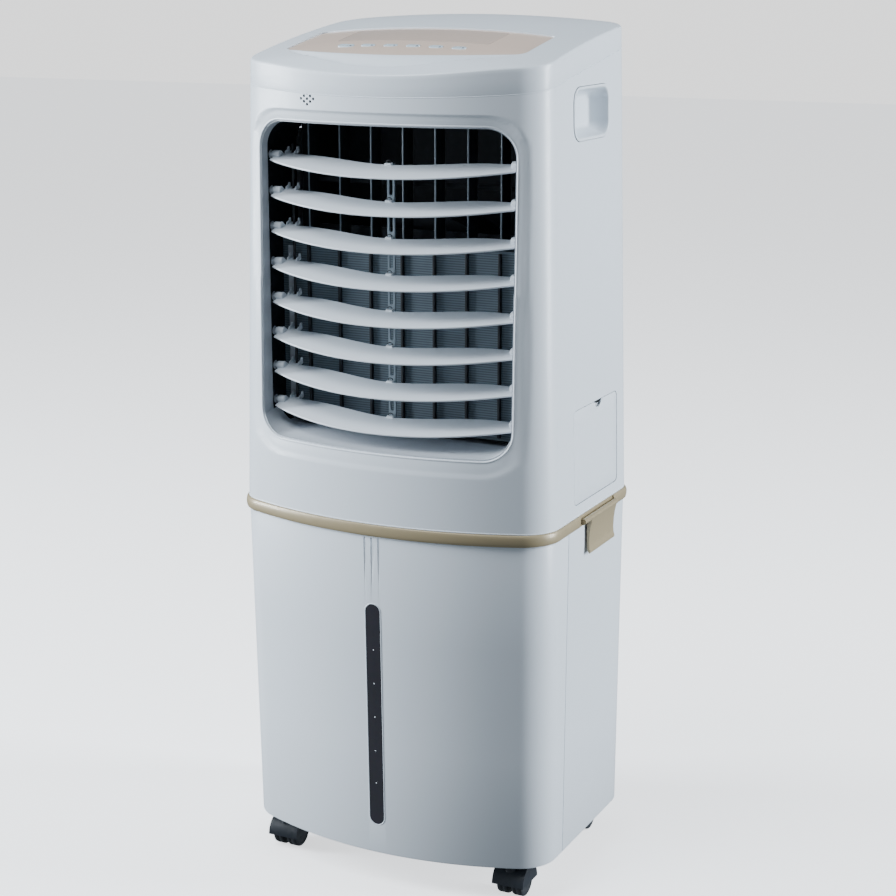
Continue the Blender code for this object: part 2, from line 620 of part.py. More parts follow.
def inside():
    """The blower, its motor, the swing motor, and the water side: pad, tray, pump and hose."""
    low, high, wall = Vector((-0.170, -0.034, 0.600)), Vector((0.170, 0.062, 1.010)), 0.0025
    edge = Vector((wall, wall, wall))
    case = add("blower_housing", box(low, high), (0.02, 0.022, 0.026), 0.6)
    combine(case, box(low + edge, high - edge))
    combine(case, box((-0.160, -0.05, 0.870), (0.160, -0.02, 1.000)))
    combine(case, cylinder((0, 0.760), 0.115, 0.05, 0.08, "Y", 32))
    wheel = [(0, -0.018), (0.128, -0.018), (0.128, 0.048), (0.110, 0.048), (0.110, -0.015), (0, -0.015)]
    turned("impeller", wheel, (0, 0.010, 0.760), (0.05, 0.055, 0.06), axis="Y", segments=32)
    motor = [(0, 0), (0.045, 0), (0.048, 0.003), (0.048, 0.052), (0.045, 0.055), (0, 0.055)]
    turned("fan_motor", motor, (0, 0.0, 0.760), (0.3, 0.3, 0.32), 0.4, 0.6, axis="Y")
    drive = [(0, 0), (0.011, 0), (0.011, 0.018), (0.003, 0.019), (0.003, 0.024), (0, 0.024)]
    turned("swing_motor", drive, (0, -0.056, 0.827), (0.5, 0.5, 0.52), 0.4, 0.6)

    add("cooling_pad", box((-0.165, 0.118, 0.580), (0.165, 0.150, 1.020)), (0.25, 0.18, 0.09), 0.9)
    tray = add("water_tray", box((-0.165, 0.112, 1.0215), (0.165, 0.152, 1.045)), WHITE)
    combine(tray, box((-0.162, 0.115, 1.0245), (0.162, 0.149, 1.06)))
    pump = [(0, 0.0520), (0.024, 0.0520), (0.026, 0.054), (0.026, 0.092), (0.018, 0.100), (0, 0.100)]
    turned("water_pump", pump, (*PUMP_XY, 0), (0.02, 0.02, 0.025))
    route = bpy.data.curves.new("water_hose", "CURVE")
    route.dimensions = "3D"
    route.bevel_depth = 0.005
    route.bevel_resolution = 2
    route.use_fill_caps = True
    line = route.splines.new("POLY")
    x, y = PUMP_XY
    bend = 0.018
    points = [(x, y, 0.1004), (x, y, 0.5), (x, y, 1.044)]
    points += [(x, y + bend - bend * cos(a), 1.044 + bend * sin(a)) for a in spread(0.3, pi, 7)]
    points.append((x, y + 2 * bend, 1.028))
    line.points.add(len(points) - 1)
    for point, place_at in zip(line.points, points):
        point.co = (*place_at, 1.0)
    hose = bpy.data.objects.new("water_hose", route)
    route.materials.append(material("water_hose", (0.6, 0.62, 0.64), 0.4))
    PARTS.objects.link(hose)


def rear_grille():
    """The lift-off rear grille over the pad, with rows of slots each side of a centre bar."""
    grille = add("rear_grille", prism(rounded_rect((-REAR_HALF + 0.0006, REAR_Z[0] + 0.0006),
                                                   (REAR_HALF - 0.0006, REAR_Z[1] - 0.0006), 0.0115),
                                      0.1580, 0.1625, "Y"), WHITE)
    slots = []
    for z in spread(REAR_Z[0] + 0.030, REAR_Z[1] - 0.030, 15):
        for low, high in ((-0.155, -0.008), (0.008, 0.155)):
            slots.append(box((low, 0.15, z - 0.0065), (high, 0.17, z + 0.0065)))
    pivot(grille, (0, 0.160, sum(REAR_Z) / 2))
    combine(grille, together(*slots))


for build in (tank, casters, deck_and_band, housing, handle_cups, filler, latches, top, outlet, louvers,
              vanes, inside, rear_grille):
    build()
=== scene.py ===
import bpy
import bmesh
import json
from math import atan2, cos, hypot, pi, radians, sin, sqrt
from mathutils import Matrix, Vector


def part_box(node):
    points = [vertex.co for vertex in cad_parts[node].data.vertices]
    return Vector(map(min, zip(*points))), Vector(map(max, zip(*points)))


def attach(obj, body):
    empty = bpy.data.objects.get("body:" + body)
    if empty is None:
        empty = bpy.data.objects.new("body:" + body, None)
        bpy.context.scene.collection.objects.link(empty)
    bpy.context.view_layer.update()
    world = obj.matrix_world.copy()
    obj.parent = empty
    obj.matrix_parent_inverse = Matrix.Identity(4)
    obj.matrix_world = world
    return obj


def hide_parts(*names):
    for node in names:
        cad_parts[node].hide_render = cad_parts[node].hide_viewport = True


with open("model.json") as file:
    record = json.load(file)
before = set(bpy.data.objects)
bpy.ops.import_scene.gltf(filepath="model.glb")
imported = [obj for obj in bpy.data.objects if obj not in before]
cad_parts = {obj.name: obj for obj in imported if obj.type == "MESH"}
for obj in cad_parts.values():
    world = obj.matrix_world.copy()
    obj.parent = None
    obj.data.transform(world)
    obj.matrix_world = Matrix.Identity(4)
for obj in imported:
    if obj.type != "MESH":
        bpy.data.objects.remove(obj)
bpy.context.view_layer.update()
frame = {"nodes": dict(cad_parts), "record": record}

# ---- sizes in metres: the first ones are read from the CAD model ----
HOUSING_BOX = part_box("housing_shell")
HALF_WIDTH, HALF_DEPTH = HOUSING_BOX[1][0], HOUSING_BOX[1][1]
HEAD_LOW, HEAD_HIGH = HOUSING_BOX[0][2], 1.130
TANK_LOW, TANK_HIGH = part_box("tank_front_panel")[0][2] - 0.0005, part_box("tank_tub")[1][2]
BAND_LOW, BAND_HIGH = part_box("trim_band")[0][2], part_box("trim_band")[1][2]
# How far the side, front and rear walls draw in from the band to the far end
HEAD_TAPER = (0.0155, 0.0075, 0.0065)
TANK_TAPER = (0.0025, 0.0110, 0.0010)
TANK_FRONT = -HALF_DEPTH + 0.0005
FRONT_BOW, FRONT_CORNER, REAR_CORNER = 0.0515, 0.052, 0.030
TOP_SEAM_Z, TOP_SEAM_SLOPE = 1.0735, 0.168
RIM_Z, RIM_SLOPE, RIM_CURVE, RIM_CROWN, RIM_HALF = 1.1056, 0.169, 0.22, 0.0105, 0.211
SEAM_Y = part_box("tank_front_panel")[1][1]
WALL, SKIN = 0.003, 0.0022
OUTLET_LOW, OUTLET_HIGH, OUTLET_HALF, OUTLET_CORNER = 0.6006, 1.0137, 0.181, 0.038
OUTLET_MIDDLE = (OUTLET_LOW + OUTLET_HIGH) / 2
# The brow's width and depth, above and below the outlet's middle
BROW_HIGH, BROW_LOW = (0.014, 0.0042), (0.0196, 0.0028)
REVEAL_OUTER, REVEAL_INNER, REVEAL_FILL = 0.0006, 0.0029, 0.008
PANEL_HALF, PANEL_FRONT, PANEL_REAR, PANEL_BOW, PANEL_DROP = 0.167, -0.119, 0.022, 0.041, 0.0015
COVER_WALL, COVER_CROWN, COVER_SCALE_AT_BUTTONS = 0.0025, 0.004, 0.45
SCOOP_HALF, SCOOP_DEPTH, SCOOP_GAP = 0.160, 0.0066, 0.0012
HANDLE_Y, HANDLE_Z = (-0.026, 0.094), (0.988, 1.056)
DOOR_Y, DOOR_Z, NOTCH_Y, NOTCH_RISE = (-0.033, 0.118), (0.525, 0.650), 0.050, 0.004
GLAND_X, GLAND_Z, PLUG_Z, SPEAKER_X, SPEAKER_Z = -0.150, 0.535, 0.078, -0.092, 1.0412
REAR_HALF, REAR_Z = 0.170, (0.560, 1.030)
LOUVERS, LOUVER_PITCH, LOUVER_TILT = 8, 0.0461, radians(14)
PIVOT_Y, PIVOT_TOP_Z, LOUVER_HALF, BLADE_DROP, BLADE_HALF = -0.100, 0.9651, 0.172, 0.003, 0.0012
LINK_X, FLAT_RIM, SHADE_LINER_Y, LEDGE_HALF, LEDGE_REAR = -0.155, 0.0005, -0.108, 0.1765, -0.092
VANES, VANE_PITCH, VANE_Y, VANE_HALF = 7, 0.0457, -0.060, 0.014
BUTTONS, BUTTON_PITCH, BUTTON_Y, BUTTON_TILT = 6, 0.0316, -0.075, radians(13.1)

# ---- light and surface settings ----
VIEW_DIRECTION, VIEW_PLACE, LENS = (-0.42622, 0.87160, -0.24217), (1.1340, -2.2633, 1.2034), 78.0
# Colour and strength of the light around the object, and of what the camera sees behind it
SURROUND, BACKDROP = ((0.79, 0.895, 1.0, 1), 0.25), ((0.95, 0.955, 0.96, 1), 1.7)
SOFT_BLUE, PALE_BLUE = (0.86, 0.93, 1.0), (0.89, 0.945, 1.0)
PAPER, PAPER_GLOW, PAPER_GLOW_STRENGTH = (0.9, 0.905, 0.91), (0.97, 0.98, 1.0, 1), 1.3
CLOUD_SCALE, SPECK_SCALE, BUMP_HEIGHT, COAT_ROUGHNESS = 9.0, 160.0, 0.0004, 0.12

# ---- mesh settings: how far cutters reach, and when points merge ----
FRONT_CUT, SIDE_CUT, TOP_CUT, WIDE = (-0.20, -0.13), (0.16, 0.25), (1.05, 1.2), 0.2
MERGE, THIN_CORE, SETTLING_ROUNDS = 1e-6, 0.0002, 4


# ---- camera, light and floor ----

def place(thing):
    """Puts an object in the scene."""
    bpy.context.scene.collection.objects.link(thing)
    return thing


def camera():
    """A long lens at the photograph's angle: from the front right, a little above."""
    forward = Vector(VIEW_DIRECTION).normalized()
    right = forward.cross(Vector((0, 0, 1))).normalized()
    up = right.cross(forward)
    data = bpy.data.cameras.new("camera")
    data.lens = LENS
    data.sensor_width = 36.0
    data.clip_end = 60.0
    cam = place(bpy.data.objects.new("camera", data))
    cam.matrix_world = Matrix((right, up, -forward)).transposed().to_4x4()
    cam.location = VIEW_PLACE
    bpy.context.scene.camera = cam


def area_light(name, where, target, size, power, colour):
    """A soft rectangular studio light aimed at a point."""
    data = bpy.data.lights.new(name, "AREA")
    data.shape = "RECTANGLE"
    data.size, data.size_y = size
    data.energy = power
    data.color = colour
    lamp = place(bpy.data.objects.new(name, data))
    lamp.location = where
    lamp.rotation_euler = (Vector(target) - Vector(where)).to_track_quat("-Z", "Y").to_euler()


def paper():
    """A matt white studio paper that glows a little, so that it stays white in shade."""
    look = finish("floor_paper", PAPER, 0.9, mottle=0.01, grain=0.02, grain_scale=60)
    shader = look.node_tree.nodes["Principled BSDF"]
    shader.inputs["Emission Color"].default_value = PAPER_GLOW
    shader.inputs["Emission Strength"].default_value = PAPER_GLOW_STRENGTH
    return look


def studio():
    """A dim surround, a bright backdrop for the camera, two tall lights, a top light and a pale floor."""
    world = bpy.data.worlds.new("surround")
    world.use_nodes = True
    nodes, link = world.node_tree.nodes, world.node_tree.links.new
    surround, backdrop = nodes["Background"], nodes.new("ShaderNodeBackground")
    for node, (colour, strength) in ((surround, SURROUND), (backdrop, BACKDROP)):
        node.inputs["Color"].default_value = colour
        node.inputs["Strength"].default_value = strength
    chosen, seen = nodes.new("ShaderNodeMixShader"), nodes.new("ShaderNodeLightPath")
    link(seen.outputs["Is Camera Ray"], chosen.inputs[0])
    link(surround.outputs[0], chosen.inputs[1])
    link(backdrop.outputs[0], chosen.inputs[2])
    link(chosen.outputs[0], nodes["World Output"].inputs["Surface"])
    bpy.context.scene.world = world
    area_light("key", (-3.6, -1.5, 1.5), (0, 0, 0.7), (1.0, 2.6), 345, SOFT_BLUE)
    area_light("side", (3.4, 1.3, 1.4), (0.1, 0, 0.6), (1.0, 2.8), 285, SOFT_BLUE)
    area_light("top", (-0.9, -1.4, 3.3), (0, 0, 0.9), (1.4, 1.4), 76, PALE_BLUE)
    bpy.ops.mesh.primitive_plane_add(size=30)
    floor = bpy.context.object
    floor.name = "floor"
    floor.data.materials.append(paper())
    floor.visible_diffuse = False
    floor.visible_glossy = False


# ---- materials: every one has mottle, grain and worn roughness from its nodes ----

def colour_mix(tree, blend="MIX"):
    """A node that mixes two colours."""
    mix = tree.nodes.new("ShaderNodeMix")
    mix.data_type = "RGBA"
    mix.blend_type = blend
    return mix


def finish(name, colour, rough, metallic=0.0, mottle=0.03, grain=0.02, grain_scale=900.0, coat=0.0,
           stretch=(1, 1, 1), spec=0.5):
    """A moulded or printed surface: faint colour mottle, uneven gloss and a fine grain."""
    look = bpy.data.materials.new(name)
    look.use_nodes = True
    tree = look.node_tree
    shader = tree.nodes["Principled BSDF"]
    for socket, value in (("Metallic", metallic), ("Coat Weight", coat), ("Coat Roughness", COAT_ROUGHNESS),
                          ("Specular IOR Level", spec)):
        shader.inputs[socket].default_value = value

    def node(kind, **settings):
        made = tree.nodes.new(kind)
        for key, value in settings.items():
            made.inputs[key].default_value = value
        return made

    link = tree.links.new
    where = node("ShaderNodeTexCoord")
    mapping = node("ShaderNodeMapping", Scale=stretch)
    link(where.outputs["Object"], mapping.inputs["Vector"])
    cloud = node("ShaderNodeTexNoise", Scale=CLOUD_SCALE, Detail=4.0, Roughness=0.55)
    specks = node("ShaderNodeTexNoise", Scale=SPECK_SCALE, Detail=3.0)
    fine = node("ShaderNodeTexNoise", Scale=grain_scale, Detail=2.0)
    for texture in (cloud, specks, fine):
        link(mapping.outputs["Vector"], texture.inputs["Vector"])
    tint = colour_mix(tree)
    tint.inputs["A"].default_value = (*[c * (1 - mottle) for c in colour], 1)
    tint.inputs["B"].default_value = (*[min(1, c * (1 + mottle)) for c in colour], 1)
    link(cloud.outputs["Fac"], tint.inputs["Factor"])
    dust = colour_mix(tree, "MULTIPLY")
    dust.inputs["Factor"].default_value = mottle
    link(tint.outputs["Result"], dust.inputs["A"])
    link(specks.outputs["Color"], dust.inputs["B"])
    link(dust.outputs["Result"], shader.inputs["Base Color"])
    gloss = node("ShaderNodeMapRange", **{"From Min": 0.3, "From Max": 0.7, "To Min": rough * 0.85,
                                          "To Max": min(1.0, rough * 1.15)})
    link(specks.outputs["Fac"], gloss.inputs["Value"])
    link(gloss.outputs["Result"], shader.inputs["Roughness"])
    bump = node("ShaderNodeBump", Strength=grain, Distance=BUMP_HEIGHT)
    link(fine.outputs["Fac"], bump.inputs["Height"])
    link(bump.outputs["Normal"], shader.inputs["Normal"])
    return look


def wave_finish(name, colour, dark, rough, scale, grain, direction="DIAGONAL", distortion=1.2):
    """A ribbed surface: bands of two tones over an uneven grain; on the duct panel these bands are painted
    light and shade of fine ribs.
    """
    look = finish(name, colour, rough, mottle=0.12, grain=grain, grain_scale=400)
    tree = look.node_tree
    wave = tree.nodes.new("ShaderNodeTexWave")
    wave.inputs["Scale"].default_value = scale
    wave.inputs["Distortion"].default_value = distortion
    wave.bands_direction = direction
    tree.links.new(tree.nodes["Texture Coordinate"].outputs["Object"], wave.inputs["Vector"])
    bands = colour_mix(tree)
    bands.inputs["A"].default_value = (*dark, 1)
    bands.inputs["B"].default_value = (*colour, 1)
    tree.links.new(wave.outputs["Fac"], bands.inputs["Factor"])
    tree.links.new(bands.outputs["Result"], tree.nodes["Principled BSDF"].inputs["Base Color"])
    return look


LOOKS = {
    "white_shell": finish("white_abs", (0.76, 0.815, 0.87), 0.36, mottle=0.012, grain=0.05, coat=0.12),
    "gold_panel": finish("gold_film", (0.82, 0.64, 0.52), 0.34, 0.1, mottle=0.03, grain=0.08,
                         grain_scale=1500, coat=0.5, stretch=(1, 6, 1)),
    "display_lens": finish("gold_lens", (0.79, 0.615, 0.50), 0.22, 0.1, mottle=0.02, grain=0.04, coat=0.7),
    "gold_trim": finish("beige_trim", (0.37, 0.30, 0.18), 0.38, 0.15, mottle=0.05, grain=0.10, coat=0.15),
    "dark_window": finish("smoked_window", (0.028, 0.027, 0.034), 0.22, mottle=0.25, grain=0.03, coat=0.1),
    "button": finish("button_caps", (0.60, 0.72, 0.80), 0.28, mottle=0.04, grain=0.05, coat=0.4),
    "louver": finish("louver_abs", (0.76, 0.81, 0.86), 0.38, mottle=0.025, grain=0.08, coat=0.1),
    "sleeve": finish("reveal_abs", (0.50, 0.535, 0.58), 0.46, mottle=0.05, grain=0.12),
    # The duct's two-tone horizontal bands are painted light and shade standing in for its fine ribs.
    "duct_grey": wave_finish("duct_painted_rib_shade", (0.125, 0.165, 0.195), (0.055, 0.08, 0.10), 0.5, 100.0, 0.15,
                             "Z", 0.0),
    "vane_black": finish("vane_black", (0.010, 0.013, 0.017), 0.5, mottle=0.2, grain=0.12),
    "black_plastic": finish("black_nylon", (0.014, 0.018, 0.025), 0.38, mottle=0.25, grain=0.2, coat=0.1),
    "wheel": finish("wheel_tread", (0.022, 0.026, 0.032), 0.55, mottle=0.3, grain=0.3, grain_scale=500),
    "pad": wave_finish("cellulose_pad", (0.42, 0.30, 0.16), (0.16, 0.10, 0.05), 0.85, 60.0, 0.6),
    "motor": finish("motor_case", (0.34, 0.35, 0.37), 0.4, 0.8, mottle=0.08, grain=0.2, stretch=(1, 8, 1)),
    "hose": finish("silicone_hose", (0.55, 0.58, 0.60), 0.35, mottle=0.06, grain=0.1),
    "board": finish("circuit_board", (0.02, 0.14, 0.06), 0.4, mottle=0.3, grain=0.2, grain_scale=300),
    # Near-black for hollows: painted shade inside the outlet, behind the speaker holes and behind the door
    # notch.
    "cavity": finish("cavity_painted_shade", (0.004, 0.006, 0.009), 0.7, mottle=0.3, grain=0.1, spec=0.2),
    "strut": finish("strut_abs", (0.22, 0.27, 0.31), 0.42, mottle=0.08, grain=0.1),
    "pale": finish("pale_insert", (0.80, 0.84, 0.88), 0.3, mottle=0.02, grain=0.05),
    "led": finish("indicator_dot", (0.05, 0.07, 0.10), 0.2, mottle=0.1, grain=0.02, coat=0.5),
}


# ---- mesh helpers ----

def spread(low, high, count):
    """Evenly spaced values, both ends included."""
    return [low + (high - low) * i / (count - 1) for i in range(count)]


def smooth(t):
    """A smooth step from 0 to 1."""
    t = min(1.0, max(0.0, t))
    return t * t * (3 - 2 * t)


def new_piece(name, bm, look):
    """An object from a bmesh, with its material."""
    mesh = bpy.data.meshes.new(name)
    bm.to_mesh(mesh)
    bm.free()
    piece = bpy.data.objects.new(name, mesh)
    piece.data.materials.append(LOOKS[look])
    return place(piece)


def bake(piece):
    """Applies a piece's modifiers."""
    mesh = bpy.data.meshes.new_from_object(piece.evaluated_get(bpy.context.evaluated_depsgraph_get()))
    piece.modifiers.clear()
    piece.data = mesh
    return piece


def shade(piece, angle=35.0):
    """Smooth shading, with sharp edges above an angle."""
    piece.data.shade_smooth()
    piece.data.set_sharp_from_angle(angle=radians(angle))
    return piece


def settle(piece, angle=35.0):
    """Applies a piece's modifiers and shades it."""
    return shade(bake(piece), angle)


def thicken(piece, thickness):
    """Gives an open surface a wall on its inner side."""
    step = piece.modifiers.new("wall", "SOLIDIFY")
    step.thickness = thickness
    step.offset = -1.0
    step.use_even_offset = True
    return settle(piece)


def combine(piece, bm, operation="DIFFERENCE"):
    """Cuts, joins or crops a piece with the shape in a bmesh."""
    mesh = bpy.data.meshes.new("tool")
    bm.to_mesh(mesh)
    bm.free()
    tool = place(bpy.data.objects.new("tool", mesh))
    step = piece.modifiers.new("cut", "BOOLEAN")
    step.operation = operation
    step.solver = "EXACT"
    step.object = tool
    settle(piece)
    bpy.data.objects.remove(tool, do_unlink=True)
    return piece


def flatten(piece):
    """Shades large faces flat right up to their rounded edges."""
    step = piece.modifiers.new("flat_faces", "WEIGHTED_NORMAL")
    step.weight = 100
    step.keep_sharp = True
    return bake(piece)


def soften(piece, width, angle=35.0):
    """Rounds a piece's hard edges."""
    step = piece.modifiers.new("round", "BEVEL")
    step.width = width
    step.segments = 2
    step.limit_method = "ANGLE"
    step.angle_limit = radians(angle)
    return flatten(settle(piece, 60.0))


def finished(piece, body, slot, *nodes):
    """Hands a piece to its body and hides the CAD nodes it stands for; the slot argument is not used."""
    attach(piece, body)
    if nodes:
        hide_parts(*nodes)
    return piece


def at(outline, level, axis="Z"):
    """Outline points at a level along an axis."""
    orders = {"X": lambda a, b: (level, a, b), "Y": lambda a, b: (a, level, b), "Z": lambda a, b: (a, b, level)}
    return [orders[axis](a, b) for a, b in outline]


def surface(rows, closed=True, bottom=False, top=False):
    """A lofted surface through rows of points, with optional flat ends."""
    bm = bmesh.new()
    lines = [[bm.verts.new(p) for p in row] for row in rows]
    count = len(rows[0])
    for low, high in zip(lines, lines[1:]):
        for i in range(count if closed else count - 1):
            j = (i + 1) % count
            bm.faces.new((low[i], low[j], high[j], high[i]))
    if bottom:
        bm.faces.new(lines[0][::-1])
    if top:
        bm.faces.new(lines[-1])
    return bm


def loop(rows):
    """A surface whose last row joins its first, with its doubled points merged."""
    bm = surface(rows + rows[:1])
    bmesh.ops.remove_doubles(bm, verts=bm.verts, dist=MERGE)
    return bm


def prism(outline, low, high, axis="Z"):
    """A solid with one outline all along an axis."""
    bm = surface([at(outline, level, axis) for level in (low, high)], bottom=True, top=True)
    bmesh.ops.recalc_face_normals(bm, faces=bm.faces)
    return bm


def box(low, high):
    """A block between two corners, as a cutter or a blank for rounding."""
    outline = [(low[0], low[1]), (high[0], low[1]), (high[0], high[1]), (low[0], high[1])]
    return prism(outline, low[2], high[2])


def circle(centre, radius, segments=32):
    """A round outline."""
    steps = [2 * pi * i / segments for i in range(segments)]
    return [(centre[0] + radius * cos(a), centre[1] + radius * sin(a)) for a in steps]


def turned(profile, origin, axis="Z", segments=48):
    """A solid of revolution from a profile of (radius, level)."""
    rows = [at(circle((0, 0), max(r, THIN_CORE), segments), level) for r, level in profile]
    bm = surface(rows, bottom=True, top=True)
    turns = {"X": Matrix.Rotation(pi / 2, 4, "Y"), "Y": Matrix.Rotation(-pi / 2, 4, "X"), "Z": Matrix()}
    bmesh.ops.transform(bm, matrix=Matrix.Translation(Vector(origin)) @ turns[axis], verts=bm.verts)
    bmesh.ops.recalc_face_normals(bm, faces=bm.faces)
    return bm


def together(*shapes):
    """Several separate shapes in one bmesh."""
    whole = bmesh.new()
    for bm in shapes:
        mesh = bpy.data.meshes.new("piece")
        bm.to_mesh(mesh)
        bm.free()
        whole.from_mesh(mesh)
        bpy.data.meshes.remove(mesh)
    return whole


def bead(name, points, radius, look, closed=True):
    """A thin rounded moulding along a line of points."""
    curve = bpy.data.curves.new(name, "CURVE")
    curve.dimensions = "3D"
    curve.bevel_depth = radius
    curve.bevel_resolution = 3
    curve.use_fill_caps = not closed
    line = curve.splines.new("POLY")
    line.points.add(len(points) - 1)
    for knot, point in zip(line.points, points):
        knot.co = (*point, 1.0)
    line.use_cyclic_u = closed
    source = place(bpy.data.objects.new(name + "_line", curve))
    mesh = bpy.data.meshes.new_from_object(source.evaluated_get(bpy.context.evaluated_depsgraph_get()))
    bpy.data.objects.remove(source, do_unlink=True)
    piece = bpy.data.objects.new(name, mesh)
    mesh.materials.clear()
    mesh.materials.append(LOOKS[look])
    mesh.shade_smooth()
    return place(piece)


# ---- the walls ----

def bow_radius(half, bow):
    """The radius of an arc that spans twice a half width and stands out by a bow."""
    return (half ** 2 + bow ** 2) / (2 * bow)


def half_outline(half, front, rear, bow=FRONT_BOW, front_corner=FRONT_CORNER, rear_corner=REAR_CORNER):
    """The right half of a plan outline with a bowed front, from the front centre to the rear."""
    radius = bow_radius(half, bow)
    centre = front + radius
    corner_x = half - front_corner
    corner_y = centre - sqrt((radius - front_corner) ** 2 - corner_x ** 2)
    turn = atan2(corner_x, centre - corner_y)
    points = [(radius * sin(a), centre - radius * cos(a)) for a in spread(0, turn, 30)]
    points += [(corner_x + front_corner * sin(a), corner_y - front_corner * cos(a))
               for a in spread(turn, pi / 2, 16)[1:]]
    points += [(half, y) for y in spread(points[-1][1], rear - rear_corner, 12)[1:-1]]
    points += [(half - rear_corner * (1 - cos(a)), rear - rear_corner * (1 - sin(a)))
               for a in spread(0, pi / 2, 9)]
    return points + [(x, rear) for x in spread(points[-1][0], 0, 12)[1:]]


def mirrored(half):
    """The closed outline, counter-clockwise from above, from its right half."""
    return half + [(-x, y) for x, y in reversed(half) if x > MERGE]


def rounded_rect(across, along, radius, inset=0.0, steps=12):
    """A counter-clockwise rectangle with round corners, from its two ranges, drawn in by an inset."""
    left, right, low, high = across[0] + inset, across[1] - inset, along[0] + inset, along[1] - inset
    corners = [(right - radius, low + radius, -pi / 2), (right - radius, high - radius, 0),
               (left + radius, high - radius, pi / 2), (left + radius, low + radius, pi)]
    return [(x + radius * cos(a), y + radius * sin(a))
            for x, y, start in corners for a in spread(start, start + pi / 2, steps)]


def filled_in(outline, step):
    """The outline with extra points on its long runs."""
    points = []
    for i, (x, y) in enumerate(outline):
        next_x, next_y = outline[(i + 1) % len(outline)]
        count = max(1, int(hypot(next_x - x, next_y - y) / step))
        points += [(x + (next_x - x) * k / count, y + (next_y - y) * k / count) for k in range(count)]
    return points


def head_share(z):
    """How far up the head a height is: 0 at the band, 1 at the top."""
    return (z - HEAD_LOW) / (HEAD_HIGH - HEAD_LOW)


def tank_share(z):
    """How far down the tank a height is: 0 at the band, 1 at the bottom."""
    return (TANK_HIGH - z) / (TANK_HIGH - TANK_LOW)


def head_outline(z, inset=0.0):
    """Half outline of the head at a height."""
    side, front, rear = (taper * head_share(z) + inset for taper in HEAD_TAPER)
    return half_outline(HALF_WIDTH - side, -HALF_DEPTH + front, HALF_DEPTH - rear)


def tank_outline(z, inset=0.0):
    """Half outline of the tank at a height."""
    side, front, rear = (taper * tank_share(z) + inset for taper in TANK_TAPER)
    return half_outline(HALF_WIDTH - 0.001 - side, TANK_FRONT + front, -TANK_FRONT - rear)


HEAD_FOOT = mirrored(head_outline(HEAD_LOW))
HEAD_CROWN = mirrored(head_outline(HEAD_HIGH))


def head_ring(height, scale=1.0):
    """A ring on the head's wall whose height follows a function of x and y, drawn in by a scale."""
    ring = []
    for low, high in zip(HEAD_FOOT, HEAD_CROWN):
        z = HEAD_HIGH
        for _ in range(SETTLING_ROUNDS):
            t = head_share(z)
            x = (low[0] + (high[0] - low[0]) * t) * scale
            y = (low[1] + (high[1] - low[1]) * t) * scale
            z = height(x, y)
        ring.append((x, y, z))
    return ring


def front_y(x, z):
    """The housing front's y at a place, before the brow's recess."""
    outline = head_outline(z)
    for (x0, y0), (x1, y1) in zip(outline, outline[1:]):
        if x0 <= abs(x) <= x1 and x1 > x0:
            return y0 + (y1 - y0) * (abs(x) - x0) / (x1 - x0)
    return outline[0][1]


def outlet_distance(x, z):
    """How far a place on the front lies outside the outlet's rounded edge; negative inside."""
    across = abs(x) - (OUTLET_HALF - OUTLET_CORNER)
    along = abs(z - OUTLET_MIDDLE) - ((OUTLET_HIGH - OUTLET_LOW) / 2 - OUTLET_CORNER)
    outside = hypot(max(across, 0), max(along, 0))
    return outside + min(max(across, along), 0) - OUTLET_CORNER


def outlet_outline(inset=0.0, steps=16):
    """The outlet's rounded edge, drawn in by an inset."""
    across, along = (-OUTLET_HALF, OUTLET_HALF), (OUTLET_LOW, OUTLET_HIGH)
    return rounded_rect(across, along, OUTLET_CORNER - inset, inset, steps)


def brow_recess(x, z):
    """How far the face sinks towards the outlet, inside the brow line."""
    width, depth = BROW_HIGH if z > OUTLET_MIDDLE else BROW_LOW
    t = min(1.0, max(0.0, 1 - outlet_distance(x, z) / width))
    return depth * (0.45 * smooth(t * 5) + 0.55 * t * t)


def seam_height(_, y):
    """The tilted joint between the housing and its top cover."""
    return TOP_SEAM_Z + TOP_SEAM_SLOPE * y


def rim_height(x, y):
    """The top cover's rim: rises to the rear, slightly crowned across."""
    across = 1 - min(1.0, (x / RIM_HALF) ** 2)
    return RIM_Z + RIM_SLOPE * y - RIM_CURVE * y * y + RIM_CROWN * across * smooth((y + 0.168) / 0.055)


def crown(scale):
    """The cover's height inside the rim, at a ring's scale."""
    return lambda x, y: rim_height(x, y) + COVER_CROWN * (1 - scale ** 3)


def panel_front_y(x):
    """The control panel's bowed front edge."""
    radius = bow_radius(PANEL_HALF, PANEL_BOW)
    return PANEL_FRONT + radius - sqrt(max(radius ** 2 - x ** 2, 0))


def scoop(x, y):
    """The crescent step in front of the panel."""
    ahead = panel_front_y(min(abs(x), PANEL_HALF)) - y
    across = (ahead - SCOOP_GAP) / (0.0040 + 0.0200 * max(0.0, 1 - (x / SCOOP_HALF) ** 2))
    fade = smooth((SCOOP_HALF - abs(x)) / 0.05)
    return SCOOP_DEPTH * fade * smooth(across / 0.9) * (1 - smooth((across - 0.89) / 0.11))


def cover_surface(with_scoop):
    """The whole top surface, before anything is cut out of it."""
    depth = scoop if with_scoop else (lambda x, y: 0.0)
    rows = [head_ring(lambda x, y: seam_height(x, y) + 0.0002, 0.9985)]
    rows.append(head_ring(lambda x, y: seam_height(x, y) + 0.0012))
    for drop in (0.012, 0.006):
        rows.append(head_ring(lambda x, y: rim_height(x, y) - drop))
    for a in spread(0, pi / 2, 7)[1:]:
        scale = 1 - 0.013 * (1 - cos(a))
        rows.append(head_ring(lambda x, y: rim_height(x, y) - 0.0028 * (1 - sin(a)), scale))
    for scale in spread(0.972, 0.62, 56) + spread(0.56, 0.04, 12):
        rows.append(head_ring(lambda x, y: crown(scale)(x, y) - depth(x, y), scale))
    return surface(rows, top=True)


# ---- tank ----

